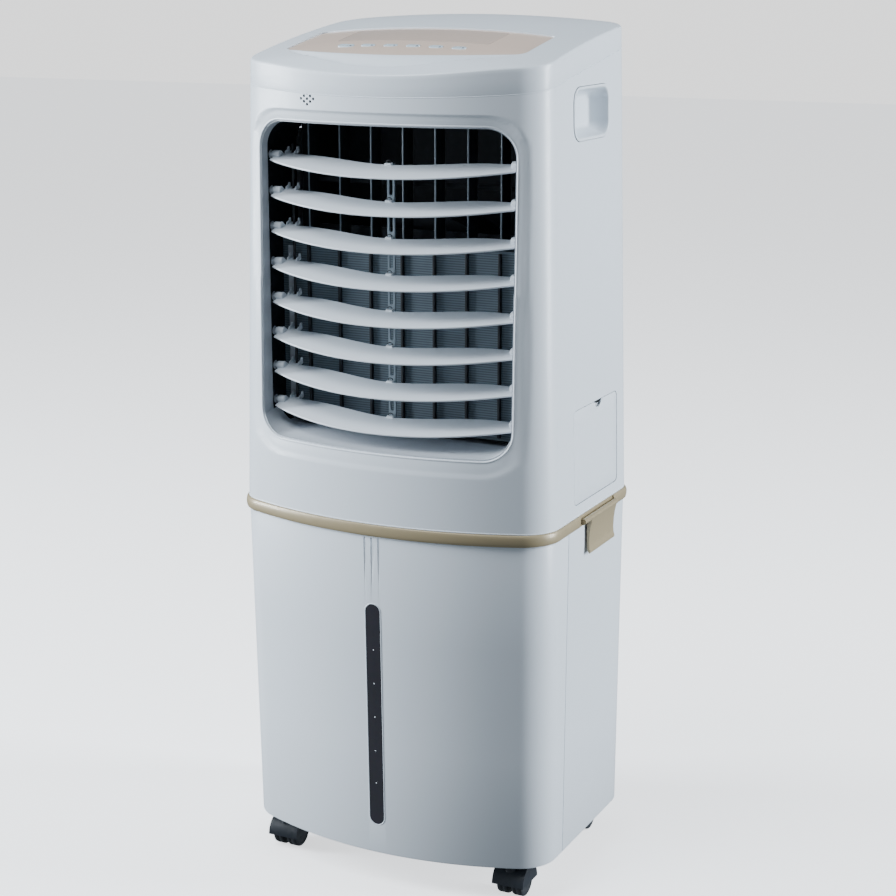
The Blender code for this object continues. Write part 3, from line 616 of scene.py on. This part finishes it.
def tank():
    """The tub and its front skin, with the level window, grooves and plug."""
    rows = []
    for z, tuck in ((TANK_LOW, 0.0022), (TANK_LOW + 0.0008, 0.0008), (TANK_LOW + 0.0024, 0),
                    (0.20, 0), (0.35, 0), (TANK_HIGH, 0)):
        front = [p for p in tank_outline(z, SKIN + 0.0006 + tuck) if p[1] < SEAM_Y - 0.0002]
        rear = [p for p in tank_outline(z, tuck) if p[1] > SEAM_Y + 0.003]
        half = front + [(front[-1][0], SEAM_Y + 0.0004), (rear[0][0], SEAM_Y + 0.0004)] + rear
        rows.append(at(mirrored(half), z))
    tub = thicken(new_piece("tub", surface(rows, bottom=True), "white_shell"), WALL)
    underside = prism(rounded_rect((-0.100, 0.100), (-0.070, 0.070), 0.02), 0.0402, TANK_LOW + 0.002)
    combine(tub, underside, "UNION")
    combine(tub, prism(circle((0, PLUG_Z), 0.0110), 0.155, 0.180, "Y"))
    finished(tub, "tank", "white_shell", "tank_tub")

    def skin_blank(name, look):
        rows = []
        for z, tuck in ((TANK_LOW + 0.0005, 0.0016), (TANK_LOW + 0.0013, 0.0005), (TANK_LOW + 0.003, 0),
                        (0.2, 0), (0.35, 0), (TANK_HIGH - 0.002, 0), (TANK_HIGH - 0.0005, 0.0004)):
            half = [p for p in tank_outline(z, tuck) if p[1] < SEAM_Y - 0.004]
            half += [(half[-1][0], SEAM_Y - 0.0012), (half[-1][0] - 0.0007, SEAM_Y - 0.0003)]
            rows.append(at([(-x, y) for x, y in reversed(half) if x > MERGE] + half, z))
        return thicken(new_piece(name, surface(rows, closed=False), look), SKIN)

    slot = (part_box("level_window")[0][2] - 0.0004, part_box("level_window")[1][2] + 0.0004)
    skin = skin_blank("front_skin", "white_shell")
    combine(skin, prism(rounded_rect((-0.011, 0.011), slot, 0.0109), *FRONT_CUT, "Y"))
    grooves = [circle((x, -HALF_DEPTH + 0.0009), 0.0013, 16) for x in (-0.010, 0.0, 0.010)]
    combine(skin, together(*[prism(groove, 0.408, 0.520) for groove in grooves]))
    finished(skin, "tank", "white_shell", "tank_front_panel")

    window = skin_blank("window", "dark_window")
    outline = rounded_rect((-0.0110, 0.0110), slot, 0.0103, 0.0006)
    combine(window, prism(outline, *FRONT_CUT, "Y"), "INTERSECT")
    finished(window, "tank", "dark_window", "level_window")

    def face(z):
        return TANK_FRONT + TANK_TAPER[1] * tank_share(z)
    edge = filled_in(rounded_rect((-0.0112, 0.0112), slot, 0.0110), 0.02)
    edge = [(x, face(z) + 0.00035, z) for x, z in edge]
    finished(bead("window_rim", edge, 0.0008, "white_shell"), "tank", "white_shell")
    profile = [(0, -0.0004), (0.0006, -0.0003), (0.0009, 0.0), (0.0007, 0.0003), (0, 0.0004)]
    for i, z in enumerate((0.150, 0.196, 0.244, 0.291, 0.338)):
        mark = new_piece("level_mark_%d" % (i + 1), turned(profile, (0, face(z), z), "Y", 20), "pale")
        finished(settle(mark), "tank", "white_shell")

    profile = [(0, -0.018), (0.0075, -0.018), (0.0102, -0.016), (0.0102, -0.0025), (0.0148, -0.0025),
               (0.0154, -0.0016), (0.0150, -0.0004), (0.0142, 0), (0.0060, 0), (0.0055, -0.0012),
               (0, -0.0012)]
    plug = turned(profile, (0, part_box("drain_plug")[1][1], PLUG_Z), "Y")
    finished(settle(new_piece("plug", plug, "black_plastic")), "drain", "black_plastic", "drain_plug")


def casters():
    """Four hooded twin-wheel casters, with grooved treads and hub caps."""
    for corner in ("fl", "fr", "rl", "rr"):
        low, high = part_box("caster_wheels_" + corner)
        x, axle_y, radius = (low[0] + high[0]) / 2, (low[1] + high[1]) / 2, (high[2] - low[2]) / 2
        arc = [(axle_y + 0.0243 * cos(a), radius - 0.0005 + 0.0243 * sin(a)) for a in spread(0, pi, 40)]
        hood = new_piece("hood_" + corner, prism(arc, x - 0.0224, x + 0.0224, "X"), "black_plastic")
        combine(hood, prism(circle((x, axle_y - 0.010), 0.0084, 40), 0.036, TANK_LOW - 0.0004), "UNION")
        for side in (-0.0202, 0.0027):
            combine(hood, prism(circle((axle_y, radius), 0.0212, 56), x + side, x + side + 0.0175, "X"))
        combine(hood, box((x - 0.0026, axle_y - 0.009, 0.0105), (x + 0.0026, axle_y + 0.009, 0.030)), "UNION")
        combine(hood, prism(circle((axle_y, radius), 0.0062, 32), x - 0.01, x + 0.01, "X"))
        soften(hood, 0.0006)
        finished(hood, "caster_" + corner, "black_plastic", "caster_hood_" + corner)
        disc = [(0.0172, 0.0033), (0.0192, 0.0036), (0.0199, 0.0048), (0.0200, 0.0060), (0.0200, 0.0085),
                (0.0195, 0.0090), (0.0195, 0.0098), (0.0200, 0.0103), (0.0200, 0.0158), (0.0196, 0.0172),
                (0.0182, 0.0180), (0.0155, 0.0183), (0.0150, 0.0175), (0.0080, 0.0175), (0.0074, 0.0186),
                (0.0050, 0.0189), (0, 0.0189)]
        profile = [(r, -s) for r, s in reversed(disc)] + [(0.0054, -0.0031), (0.0054, 0.0031)] + disc
        wheels = settle(new_piece("wheels_" + corner, turned(profile, (x, axle_y, radius), "X"), "wheel"), 50)
        finished(wheels, "wheels_" + corner, "wheel", "caster_wheels_" + corner)


# ---- band and latches ----

def band():
    """The moulded trim band, with a fine white lip above and below it."""
    z = HEAD_LOW
    middle, reach = (BAND_LOW + BAND_HIGH) / 2, (BAND_HIGH - BAND_LOW) / 2
    rings = []
    for a in spread(-pi / 2, pi / 2, 13):
        proud = 0.0029 * max(0.0, cos(a)) ** 0.6
        rings.append(at(mirrored(head_outline(z, -proud)), middle + reach * sin(a)))
    rings += [at(mirrored(head_outline(z, 0.0006)), level) for level in (BAND_HIGH, BAND_LOW)]
    ring = new_piece("band", loop(rings), "gold_trim")
    latch_low, latch_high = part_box("latch_right")
    for side in (-1, 1):
        inner, outer = sorted((side * (HALF_WIDTH + 0.0006), side * (HALF_WIDTH + 0.02)))
        combine(ring, box((inner, latch_low[1] - 0.0013, 0.48), (outer, latch_high[1] + 0.0013, 0.52)))
    finished(settle(ring), "head", "gold_trim", "trim_band")
    lip = mirrored(head_outline(z, 0.0005))
    finished(bead("lip_upper", at(lip, BAND_HIGH + 0.0010), 0.0011, "white_shell"), "head", "white_shell")
    lip = mirrored(tank_outline(TANK_HIGH, 0.0004))
    finished(bead("lip_lower", at(lip, TANK_HIGH - 0.0002), 0.0010, "white_shell"), "tank", "white_shell")


def latches():
    """The clasps: a long barrel at the band and a curved plate with a flared lip."""
    for side, name in ((1, "latch_right"), (-1, "latch_left")):
        low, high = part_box(name)
        foot, barrel_z, barrel_x = low[2], high[2] - 0.004, HALF_WIDTH + 0.0051
        profile = [(0.0070, barrel_z + 0.0034), (0.0086, barrel_z + 0.0020), (0.0089, barrel_z),
                   (0.0080, barrel_z - 0.0045), (0.0064, 0.489), (0.0052, 0.480), (0.0046, 0.466),
                   (0.0052, 0.4595), (0.0066, foot + 0.003), (0.0062, foot + 0.0006), (0.0046, foot),
                   (0.0030, foot + 0.003), (0.0018, 0.4605), (0.0012, 0.480), (0.0014, barrel_z)]
        outline = [(side * (HALF_WIDTH + out), z) for out, z in profile]
        plate = new_piece(name + "_clasp", prism(outline, low[1] + 0.023, high[1] - 0.004, "Y"), "gold_trim")
        combine(plate, prism(circle((barrel_x * side, barrel_z), 0.0040, 32), low[1], high[1], "Y"), "UNION")
        soften(plate, 0.0005)
        finished(plate, name, "gold_trim", name)


# ---- head ----

def on_side(outline, side, out=0.0):
    """Side-wall points for an outline in y and z."""
    return [(side * (HALF_WIDTH - HEAD_TAPER[0] * head_share(z) + out), y, z) for y, z in outline]


def housing_rows():
    """Heights of the housing's rings, close together where the brow bends."""
    brow = OUTLET_HIGH + BROW_HIGH[0]
    rows = [HEAD_LOW, HEAD_LOW + 0.004] + spread(0.53, 0.57, 5) + spread(0.575, 0.602, 10)
    rows += spread(0.62, 0.99, 12) + spread(0.996, brow - 0.004, 11) + [brow - 0.002, brow - 0.0008, brow]
    return rows + [brow + 0.001, 1.045, 1.07, 1.09, 1.12]


def housing():
    """The housing wall with its brow, openings and speaker holes, and the cord gland."""
    rows = []
    for level in housing_rows():
        ring = head_ring(lambda x, y: level)
        rows.append([(x, y + (brow_recess(x, z) if y < -0.05 else 0.0), z) for x, y, z in ring])
    bm = surface(rows)
    bmesh.ops.bisect_plane(bm, geom=bm.verts[:] + bm.edges[:] + bm.faces[:], clear_outer=True,
                           plane_co=(0, 0, TOP_SEAM_Z - 0.0008),
                           plane_no=Vector((0, -TOP_SEAM_SLOPE, 1)).normalized())
    shell = thicken(new_piece("housing", bm, "white_shell"), WALL)
    combine(shell, prism(outlet_outline(), -0.25, -0.09, "Y"))
    handle, door = rounded_rect(HANDLE_Y, HANDLE_Z, 0.02), rounded_rect(DOOR_Y, DOOR_Z, 0.008)
    combine(shell, together(prism(handle, *SIDE_CUT, "X"), prism(handle, -SIDE_CUT[1], -SIDE_CUT[0], "X"),
                            prism(door, *SIDE_CUT, "X")))
    combine(shell, prism(rounded_rect((-REAR_HALF, REAR_HALF), REAR_Z, 0.012), 0.12, 0.20, "Y"))
    holes = [prism(circle((GLAND_X, GLAND_Z), 0.008), 0.15, 0.18, "Y")]
    for i in (-1, 0, 1):
        for j in (-1, 0, 1):
            centre = (SPEAKER_X + 0.0049 * (i + j), SPEAKER_Z + 0.0034 * (i - j))
            holes.append(prism(circle(centre, 0.0018, 14), -0.19, -0.12, "Y"))
    combine(shell, together(*holes))
    finished(shell, "head", "white_shell", "housing_shell")

    rim = [(x, front_y(x, z) + brow_recess(x, z) + 0.0010, z) for x, z in filled_in(outlet_outline(), 0.006)]
    finished(bead("outlet_rim", rim, 0.0017, "white_shell"), "head", "white_shell")
    # A near-black strip behind the speaker holes: painted shade seen through them.
    across = spread(SPEAKER_X - 0.015, SPEAKER_X + 0.015, 9)
    hole_shade = [(x, front_y(x, 1.04) + 0.0009) for x in across]
    hole_shade += [(x, front_y(x, 1.04) + 0.0024) for x in reversed(across)]
    hole_shade = soften(new_piece("speaker_hole_shade", prism(hole_shade, 1.031, 1.051), "cavity"), 0.0002)
    finished(hole_shade, "head", "black_plastic")

    profile = [(0, -0.014), (0.0060, -0.014), (0.0073, -0.012), (0.0073, -0.0020), (0.0118, -0.0020),
               (0.0120, -0.0012), (0.0112, -0.0004), (0.0086, 0), (0.0040, 0), (0.0036, -0.006), (0, -0.006)]
    gland = turned(profile, (GLAND_X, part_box("cord_gland")[1][1], GLAND_Z), "Y")
    finished(settle(new_piece("gland", gland, "black_plastic")), "head", "black_plastic", "cord_gland")


def handle_cups():
    """A sunk grip each side with softly rounded walls and a thin raised ring."""
    steps = [(0.0006, 0.0006, 0.0196), (0.0010, 0.0011, 0.0192), (0.0030, 0.0012, 0.0172),
             (0.0040, 0.0008, 0.0163), (0.0048, -0.0004, 0.0157), (0.0060, -0.0050, 0.0145),
             (0.0115, -0.0195, 0.0110), (0.0128, -0.0220, 0.0100), (0.0150, -0.0235, 0.0085),
             (0.0180, -0.0238, 0.0070)]
    for side, name in ((1, "handle_cup_right"), (-1, "handle_cup_left")):
        rows = []
        for inset, out, radius in steps:
            rows.append(on_side(rounded_rect(HANDLE_Y, HANDLE_Z, radius, inset), side, out))
        bm = surface(rows, top=True)
        if side < 0:
            bmesh.ops.reverse_faces(bm, faces=bm.faces)
        cup = thicken(new_piece(name + "_grip", bm, "white_shell"), 0.0018)
        finished(cup, "head", "white_shell", name)


def filler_door():
    """The hinged filler door with its half-round finger notch and dished pull, and a near-black crescent in the
    notch's gap as painted shade.
    """
    rows = []
    across, along = (DOOR_Y[0] + 0.0006, DOOR_Y[1] - 0.0013), (DOOR_Z[0] + 0.0010, DOOR_Z[1] - 0.0008)
    for inset, out in ((0.0, -0.0007), (0.0002, -0.0002), (0.0007, 0.0), (0.02, 0.0)):
        rows.append(on_side(rounded_rect(across, along, 0.0075, inset), 1, out))
    door = thicken(new_piece("door", surface(rows, top=True), "white_shell"), 0.0026)
    edge, centre_z = along[1], along[1] + NOTCH_RISE
    combine(door, prism(circle((NOTCH_Y, centre_z), 0.013, 40), 0.2, 0.25, "X"))
    finished(door, "fill_door", "white_shell", "fill_door")
    dish = []
    for r, deep in ((0.0150, -0.0032), (0.0135, -0.0034), (0.0100, -0.0070), (0.0040, -0.0088)):
        turns = spread(pi + 0.25, 2 * pi - 0.25, 24)
        dish.append(on_side([(NOTCH_Y + r * cos(a), centre_z + r * sin(a)) for a in turns], 1, deep))
    pull = thicken(new_piece("door_pull", surface(dish, closed=False), "white_shell"), 0.0012)
    finished(pull, "fill_door", "white_shell")
    # A near-black crescent behind the notch: painted shade in the gap.
    gap = [(NOTCH_Y + 0.0122 * cos(a), edge + 0.0030 * sin(a)) for a in spread(pi, 2 * pi, 20)]
    gap += [(NOTCH_Y + 0.0122, edge + 0.0002), (NOTCH_Y - 0.0122, edge + 0.0002)]
    gap = surface([on_side(gap, 1, -0.0030), on_side(gap, 1, -0.0008)], bottom=True, top=True)
    finished(settle(new_piece("door_gap_shade", gap, "cavity")), "fill_door", "black_plastic")


def button_place(index):
    """A button's position on the panel's surface."""
    x = (index - (BUTTONS - 1) / 2) * BUTTON_PITCH
    return Vector((x, BUTTON_Y, crown(COVER_SCALE_AT_BUTTONS)(x, BUTTON_Y) - PANEL_DROP))


def tilted(bm, index):
    """A shape set on the panel at a button's place."""
    turn = Matrix.Translation(button_place(index)) @ Matrix.Rotation(BUTTON_TILT, 4, "X")
    bmesh.ops.transform(bm, matrix=turn, verts=bm.verts)
    return bm


def oval(index, grow=0.0):
    """A button's outline; the first is larger."""
    across, along = (0.0112, 0.0058) if index == 0 else (0.0095, 0.0048)
    return rounded_rect((-across, across), (-along, along), along + grow - 0.0001, -grow)


def panel_outline(grow=0.0):
    """The control panel's outline from above."""
    half, front, rear = PANEL_HALF + grow, PANEL_FRONT - grow, PANEL_REAR + grow
    return mirrored(half_outline(half, front, rear, PANEL_BOW, 0.022, 0.008))


def cover_slice(name, look, outline, with_scoop=False, operation="INTERSECT"):
    """The top surface with its wall, cropped to an outline or cut out around it."""
    piece = thicken(new_piece(name, cover_surface(with_scoop), look), COVER_WALL)
    return combine(piece, prism(outline, *TOP_CUT), operation)


def top():
    """The top cover with its crescent step, the sunk gold panel, the lens and the buttons."""
    cover = cover_slice("cover", "white_shell", panel_outline(0.0004), True, "DIFFERENCE")
    finished(cover, "head", "white_shell", "top_cover")
    joint = head_ring(lambda x, y: seam_height(x, y) - 0.0003, 0.9968)
    finished(bead("cover_joint", joint, 0.0007, "white_shell"), "head", "white_shell")

    panel = cover_slice("panel", "gold_panel", panel_outline())
    panel.data.transform(Matrix.Translation((0, 0, -PANEL_DROP)))
    combine(panel, prism(rounded_rect((-0.108, 0.108), (-0.050, 0.0165), 0.006), *TOP_CUT))
    combine(panel, together(*[tilted(prism(oval(i, 0.0004), -0.02, 0.02), i) for i in range(BUTTONS)]))
    finished(panel, "head", "gold_panel", "control_panel")

    lens = cover_slice("lens", "display_lens", rounded_rect((-0.1077, 0.1077), (-0.0497, 0.0162), 0.0057))
    lens.data.transform(Matrix.Translation((0, 0, -PANEL_DROP)))
    finished(lens, "head", "display_lens", "display_lens")

    rings = ((0, -0.0044), (0, 0.0001), (-0.0002, 0.0005), (-0.0007, 0.0007), (-0.002, 0.0006))
    dot = [(0, 0.0002), (0.0012, 0.0002), (0.0015, 0.0007), (0.0011, 0.00085), (0, 0.0009)]
    for i in range(BUTTONS):
        name = "button_%d" % (i + 1)
        cap = surface([at(oval(i, grow), level) for grow, level in rings], bottom=True, top=True)
        finished(settle(new_piece(name + "_cap", tilted(cap, i), "button")), name, "button", name)
        lamp = tilted(turned(dot, (oval(i)[0][0] + 0.0012, -0.001, 0), "Z", 20), i)
        finished(settle(new_piece(name + "_lamp", lamp, "led")), name, "black_plastic")


# ---- outlet ----

def pivot_z(i):
    """The height of a louver's pivot, counted from the top."""
    return PIVOT_TOP_Z - i * LOUVER_PITCH


def pivot_holes(radius):
    """Cutters for the louvers' bearings in both walls of the reveal."""
    rings = [circle((PIVOT_Y, pivot_z(i)), radius, 20) for i in range(LOUVERS)]
    return together(*[prism(ring, -WIDE, WIDE, "X") for ring in rings])


def outlet_tube(name, look, rows):
    """A closed tube along the outlet's wall."""
    bm = loop(rows)
    bmesh.ops.recalc_face_normals(bm, faces=bm.faces)
    return settle(new_piece(name, bm, look))


def sleeve():
    """The reveal behind the outlet, a near-black liner inside it as painted shade, and its ledge with a tab."""
    outer, inner = [filled_in(outlet_outline(gap), REVEAL_FILL) for gap in (REVEAL_OUTER, REVEAL_INNER)]
    count = min(len(outer), len(inner))
    outer, inner = outer[:count], inner[:count]
    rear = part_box("outlet_frame")[1][1]

    def front(points):
        return [(x, front_y(x, z) + brow_recess(x, z) + 0.0016, z) for x, z in points]
    rows = [at(outer, rear, "Y"), front(outer), front(inner), at(inner, rear, "Y")]
    reveal = outlet_tube("reveal", "sleeve", rows)
    combine(reveal, pivot_holes(0.0031))
    finished(reveal, "head", "sleeve", "outlet_frame")
    # The liner: a near-black tube inside the outlet's walls, painted shade in the hollow.
    outer, inner = [filled_in(outlet_outline(REVEAL_INNER + gap), REVEAL_FILL) for gap in (-0.0004, 0.0004)]
    rows = [at(line, y, "Y") for line, y in ((outer, rear), (outer, SHADE_LINER_Y), (inner, SHADE_LINER_Y), (inner, rear))]
    shade_liner = outlet_tube("shade_liner", "cavity", rows)
    combine(shade_liner, pivot_holes(0.0060))
    combine(shade_liner, box((-0.3, -0.3, 0.5), (0.3, 0.0, OUTLET_LOW + 0.012)))
    finished(shade_liner, "head", "black_plastic")

    bend = OUTLET_CORNER - REVEAL_INNER
    rows = []
    for t in spread(0, 1, 14):
        row = []
        for x in spread(-LEDGE_HALF, LEDGE_HALF, 60):
            start = front_y(x, OUTLET_LOW) + 0.0045
            side = min(1, max(0.0, abs(x) - (OUTLET_HALF - OUTLET_CORNER)) / bend)
            floor = OUTLET_LOW + REVEAL_INNER + bend * (1 - sqrt(max(0.0, 1 - side ** 2)))
            lift = 0.0003 + 0.0078 * smooth(t * 1.1) * (1 - 0.6 * side)
            row.append((x, start + (LEDGE_REAR - start) * t, floor + lift))
        rows.append(row)
    ledge = thicken(new_piece("ledge", surface(rows, closed=False), "sleeve"), 0.0012)
    finished(ledge, "head", "sleeve")
    tab = new_piece("ledge_tab", box((-0.120, -0.0930, 0.6095), (-0.104, -0.0910, 0.6160)), "louver")
    finished(soften(tab, 0.0006), "head", "louver")


def strut_and_duct():
    """The slotted strut at the middle, and the lower duct panel with its ribs and strip."""
    low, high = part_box("center_strut")
    strut = box((low[0] + 0.001, low[1], low[2]), (high[0] - 0.001, high[1], PIVOT_TOP_Z - 0.004))
    strut = new_piece("strut", strut, "strut")
    middles = [pivot_z(i - 0.5) for i in range(1, LOUVERS)]
    slots = [rounded_rect((-0.0026, 0.0026), (z - 0.0205, z + 0.0205), 0.0025) for z in middles]
    combine(strut, together(*[prism(slot, -0.13, -0.09, "Y") for slot in slots]))
    soften(strut, 0.0006)
    finished(strut, "head", "duct_grey", "center_strut")

    low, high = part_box("duct_panel")
    outline = outlet_outline(REVEAL_INNER + 0.0008, 12)
    panel = new_piece("duct", prism(outline, -0.0750, -0.0720, "Y"), "duct_grey")
    combine(panel, box((-0.2, -0.1, low[2]), (0.2, 0.0, high[2])), "INTERSECT")
    combine(panel, box((-0.1770, -0.0742, high[2] - 0.003), (0.1770, high[1], high[2])), "UNION")
    soften(panel, 0.0006)
    finished(panel, "head", "duct_grey", "duct_panel")
    for i in range(VANES):
        x = (i - (VANES - 1) / 2) * VANE_PITCH
        rib = [(x - 0.0021, -0.0748), (x - 0.0016, -0.0799), (x + 0.0016, -0.0799), (x + 0.0021, -0.0748)]
        rib = new_piece("duct_rib_%d" % (i + 1), prism(rib, low[2] + 0.004, high[2] - 0.003), "vane_black")
        finished(soften(rib, 0.0005), "head", "vane_black")
    strip = box((-0.1690, -0.0768, 0.640), (-0.1610, -0.0751, 0.845))
    finished(soften(new_piece("duct_strip", strip, "sleeve"), 0.0006), "head", "sleeve")


def louver_outline():
    """One blade in its own plane, from the pivot axis, with softly swept ends."""
    rise, apex, rear, hollow, chord = 0.0459, -0.0598, 0.0098, -0.0124, 0.140
    radius = bow_radius(LOUVER_HALF, rise)
    reach = atan2(LOUVER_HALF, radius - rise)
    points = [(radius * sin(a), apex + radius * (1 - cos(a))) for a in spread(-reach, reach, 61)]
    end = [(LOUVER_HALF, 0.002), (LOUVER_HALF - 0.001, rear - 0.001), (LOUVER_HALF - 0.003, rear)]
    for x in spread(0.150, -0.143, 61):
        end.append((x, hollow + (rear - hollow) * smooth(abs(x) / chord) - 0.0003))
    return points + end + [(-0.150, rear)] + [(-x, y) for x, y in reversed(end[:3])]


def fork_outline():
    """The C-shaped clip at a blade's left, open to the rear."""
    fork, slot, tip, notch = 0.0078, 0.0028, 0.0212, 0.0129
    prong = [(fork, tip - 0.003), (fork - 0.001, tip), (slot, tip), (slot - 0.0004, tip - 0.002)]
    points = [(-fork, 0.004), (fork, 0.004)] + prong
    points += [(slot * cos(a), notch + slot * (1 + sin(a))) for a in spread(0, -pi, 9)]
    return [(LINK_X + x, y) for x, y in points + [(-x, y) for x, y in reversed(prong)]]


def blade_profile(outline, centre, half, edge):
    """A thin slab whose rim is rounded: rings drawn in towards the top and bottom."""
    rows = []
    middle = (sum(p[0] for p in outline) / len(outline), sum(p[1] for p in outline) / len(outline))
    turns = spread(-pi / 2, pi / 2, 7)
    for a, flat in [(-pi / 2, FLAT_RIM)] + [(a, 0.0) for a in turns] + [(pi / 2, FLAT_RIM)]:
        pull = edge * (1 - cos(a)) + flat
        row = []
        for i, (x, y) in enumerate(outline):
            before, after = outline[i - 1], outline[(i + 1) % len(outline)]
            run = Vector((after[0] - before[0], after[1] - before[1]))
            inward = Vector((-run.y, run.x)).normalized() if run.length > 1e-7 else Vector((0, 0))
            row.append((x + inward.x * pull, y + inward.y * pull, centre + half * sin(a)))
        rows.append(row)
    return surface(rows, bottom=True, top=True)


def louvers():
    """Eight tilting blades with end bosses, forks, clips at the middle, and their link rod."""
    ear = [(0.0065, -0.0028), (0.0202, -0.0028), (0.0208, 0.0046), (0.0178, 0.0050), (0.0160, 0.0022),
           (0.0105, 0.0016)]
    boss = [(0, 0.1632), (0.0040, 0.1632), (0.0050, 0.1640), (0.0053, 0.1655), (0.0053, 0.1730),
            (0.0046, 0.1745), (0.0025, 0.1750), (0.0025, 0.1792), (0, 0.1794)]
    web = [(0.0020, 0.0), (0.0098, -0.0030), (0.0092, -0.0012), (0.0040, 0.0046), (0.0005, 0.0050)]
    clip = [(-0.0045, -0.0160), (0.0045, -0.0160), (0.0045, -0.0099), (0.0030, -0.0099), (0.0030, -0.0128),
            (-0.0030, -0.0128), (-0.0030, -0.0099), (-0.0045, -0.0099)]
    eye = [(0.0034 * cos(a), -0.0116, 0.0008 + 0.0025 * sin(a)) for a in spread(0, 2 * pi, 17)[:-1]]
    for i in range(LOUVERS):
        name = "louver_%d" % (i + 1)
        turn = Matrix.Translation((0, PIVOT_Y, pivot_z(i))) @ Matrix.Rotation(LOUVER_TILT, 4, "X")
        blade = blade_profile(louver_outline(), -BLADE_DROP, BLADE_HALF, 0.0006)
        blade = flatten(settle(new_piece(name + "_blade", blade, "louver"), 60))
        fork = blade_profile(fork_outline(), -BLADE_DROP + 0.0002, BLADE_HALF, 0.0004)
        fork = flatten(settle(new_piece(name + "_fork", fork, "louver"), 50))
        pieces = [blade, fork]
        for side, end in ((-1, "l"), (1, "r")):
            low, high = sorted((LINK_X + side * 0.0058, LINK_X + side * 0.0077))
            tip = new_piece("%s_ear_%s" % (name, end), prism(ear, low, high, "X"), "louver")
            pieces.append(soften(tip, 0.0004))
        for side, end in ((-1, "l"), (1, "r")):
            bm = turned(boss, (0, 0, 0), "X", 32)
            if side < 0:
                bmesh.ops.scale(bm, vec=(-1, 1, 1), verts=bm.verts)
                bmesh.ops.reverse_faces(bm, faces=bm.faces)
            pieces.append(settle(new_piece("%s_boss_%s" % (name, end), bm, "louver")))
            low, high = sorted((side * 0.1640, side * 0.1665))
            gusset = new_piece("%s_web_%s" % (name, end), prism(web, low, high, "X"), "louver")
            pieces.append(soften(gusset, 0.0004))
        pieces.append(soften(new_piece(name + "_clip", prism(clip, -0.0021, 0.0006), "pale"), 0.0005))
        pieces.append(bead(name + "_eye", eye, 0.0006, "vane_black"))
        for piece in pieces:
            piece.data.transform(turn)
            finished(piece, name, "louver")
        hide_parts(name)
    low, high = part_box("louver_link")
    radius = (high[0] - low[0]) / 2
    middle = ((low[0] + high[0]) / 2, (low[1] + high[1]) / 2)
    profile = [(0, low[2]), (radius * 0.8, low[2]), (radius, low[2] + 0.001)]
    for i in reversed(range(LOUVERS)):
        z, waist = pivot_z(i) + 0.001, radius * 0.86
        profile += [(radius, z - 0.0042), (waist, z - 0.0036), (waist, z + 0.0036), (radius, z + 0.0042)]
    profile += [(radius, high[2] - 0.001), (radius * 0.8, high[2]), (0, high[2])]
    rod = settle(new_piece("link_rod", turned(profile, (*middle, 0), "Z", 24), "vane_black"))
    finished(rod, "louver_link", "vane_black", "louver_link")


def vanes():
    """Seven upright vanes, each with pale pivots and a lighter front-edge bead as painted highlight, and their
    link bar.
    """
    for i in range(VANES):
        name = "vane_%d" % (i + 1)
        low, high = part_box(name)
        x = (low[0] + high[0]) / 2
        section = []
        for a in spread(0, 2 * pi, 29)[:-1]:
            y = -VANE_HALF * cos(a)
            width = 0.0014 * (1 - 0.55 * smooth((y + VANE_HALF) / (2 * VANE_HALF)))
            section.append((x - width * sin(a), VANE_Y + y))
        bm = prism(section, low[2] + 0.0027, high[2] - 0.0017)
        vane = soften(new_piece(name + "_blade", bm, "vane_black"), 0.0003, 60)
        finished(vane, name, "vane_black", name)
        foot, head = low[2], high[2]
        profile = [(0, foot), (0.0021, foot + 0.0002), (0.0022, foot + 0.004), (0.0010, foot + 0.005),
                   (0.0010, head - 0.007), (0.0022, head - 0.006), (0.0022, head - 0.0002), (0, head)]
        pin = settle(new_piece(name + "_pin", turned(profile, (x, VANE_Y, 0), "Z", 20), "strut"))
        finished(pin, name, "louver")
        # A lighter bead along the vane's front edge: a painted highlight.
        edge = [(x, VANE_Y - VANE_HALF + 0.0003, z) for z in (low[2] + 0.004, high[2] - 0.003)]
        edge = bead(name + "_painted_highlight", edge, 0.0010, "strut", closed=False)
        finished(edge, name, "duct_grey")
    low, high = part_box("vane_link")
    bar = soften(new_piece("vane_bar", box(low, high), "vane_black"), 0.0006)
    finished(bar, "vane_link", "vane_black", "vane_link")


# ---- rear ----

def rear():
    """The rear grille with rounded slots, and the corrugated pad behind it."""
    low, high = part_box("rear_grille")
    plate = prism(rounded_rect((low[0], high[0]), (low[2], high[2]), 0.0115), low[1], high[1], "Y")
    plate = new_piece("grille", plate, "white_shell")
    slots = []
    for z in spread(REAR_Z[0] + 0.030, REAR_Z[1] - 0.030, 15):
        for across in ((-0.155, -0.008), (0.008, 0.155)):
            slot = rounded_rect(across, (z - 0.0065, z + 0.0065), 0.0040, steps=6)
            slots.append(prism(slot, 0.15, 0.17, "Y"))
    combine(plate, together(*slots))
    soften(plate, 0.0006)
    finished(plate, "rear_grille", "white_shell", "rear_grille")

    low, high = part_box("cooling_pad")
    rows = []
    for z in spread(low[2] + 0.001, high[2] - 0.001, 180):
        rows.append([(x, high[1] - 0.0012 + 0.0010 * sin(620 * x + 420 * z), z)
                     for x in spread(high[0] - 0.001, low[0] + 0.001, 200)])
    block = new_piece("pad_block", surface(rows, closed=False), "pad")
    thicken(block, high[1] - low[1] - 0.004)
    finished(block, "head", "pad", "cooling_pad")


def carried_over():
    """CAD nodes that stay as they are, with their proper materials."""
    slots = {entry["node"]: entry["material_slot"] for entry in frame["record"]["subparts"]}
    for name, node in frame["nodes"].items():
        node.data.materials.clear()
        node.data.materials.append(LOOKS[slots[name]])
        shade(node)


camera()
studio()
carried_over()
for build in (tank, casters, band, latches, housing, handle_cups, filler_door, top, sleeve, strut_and_duct,
              louvers, vanes, rear):
    build()
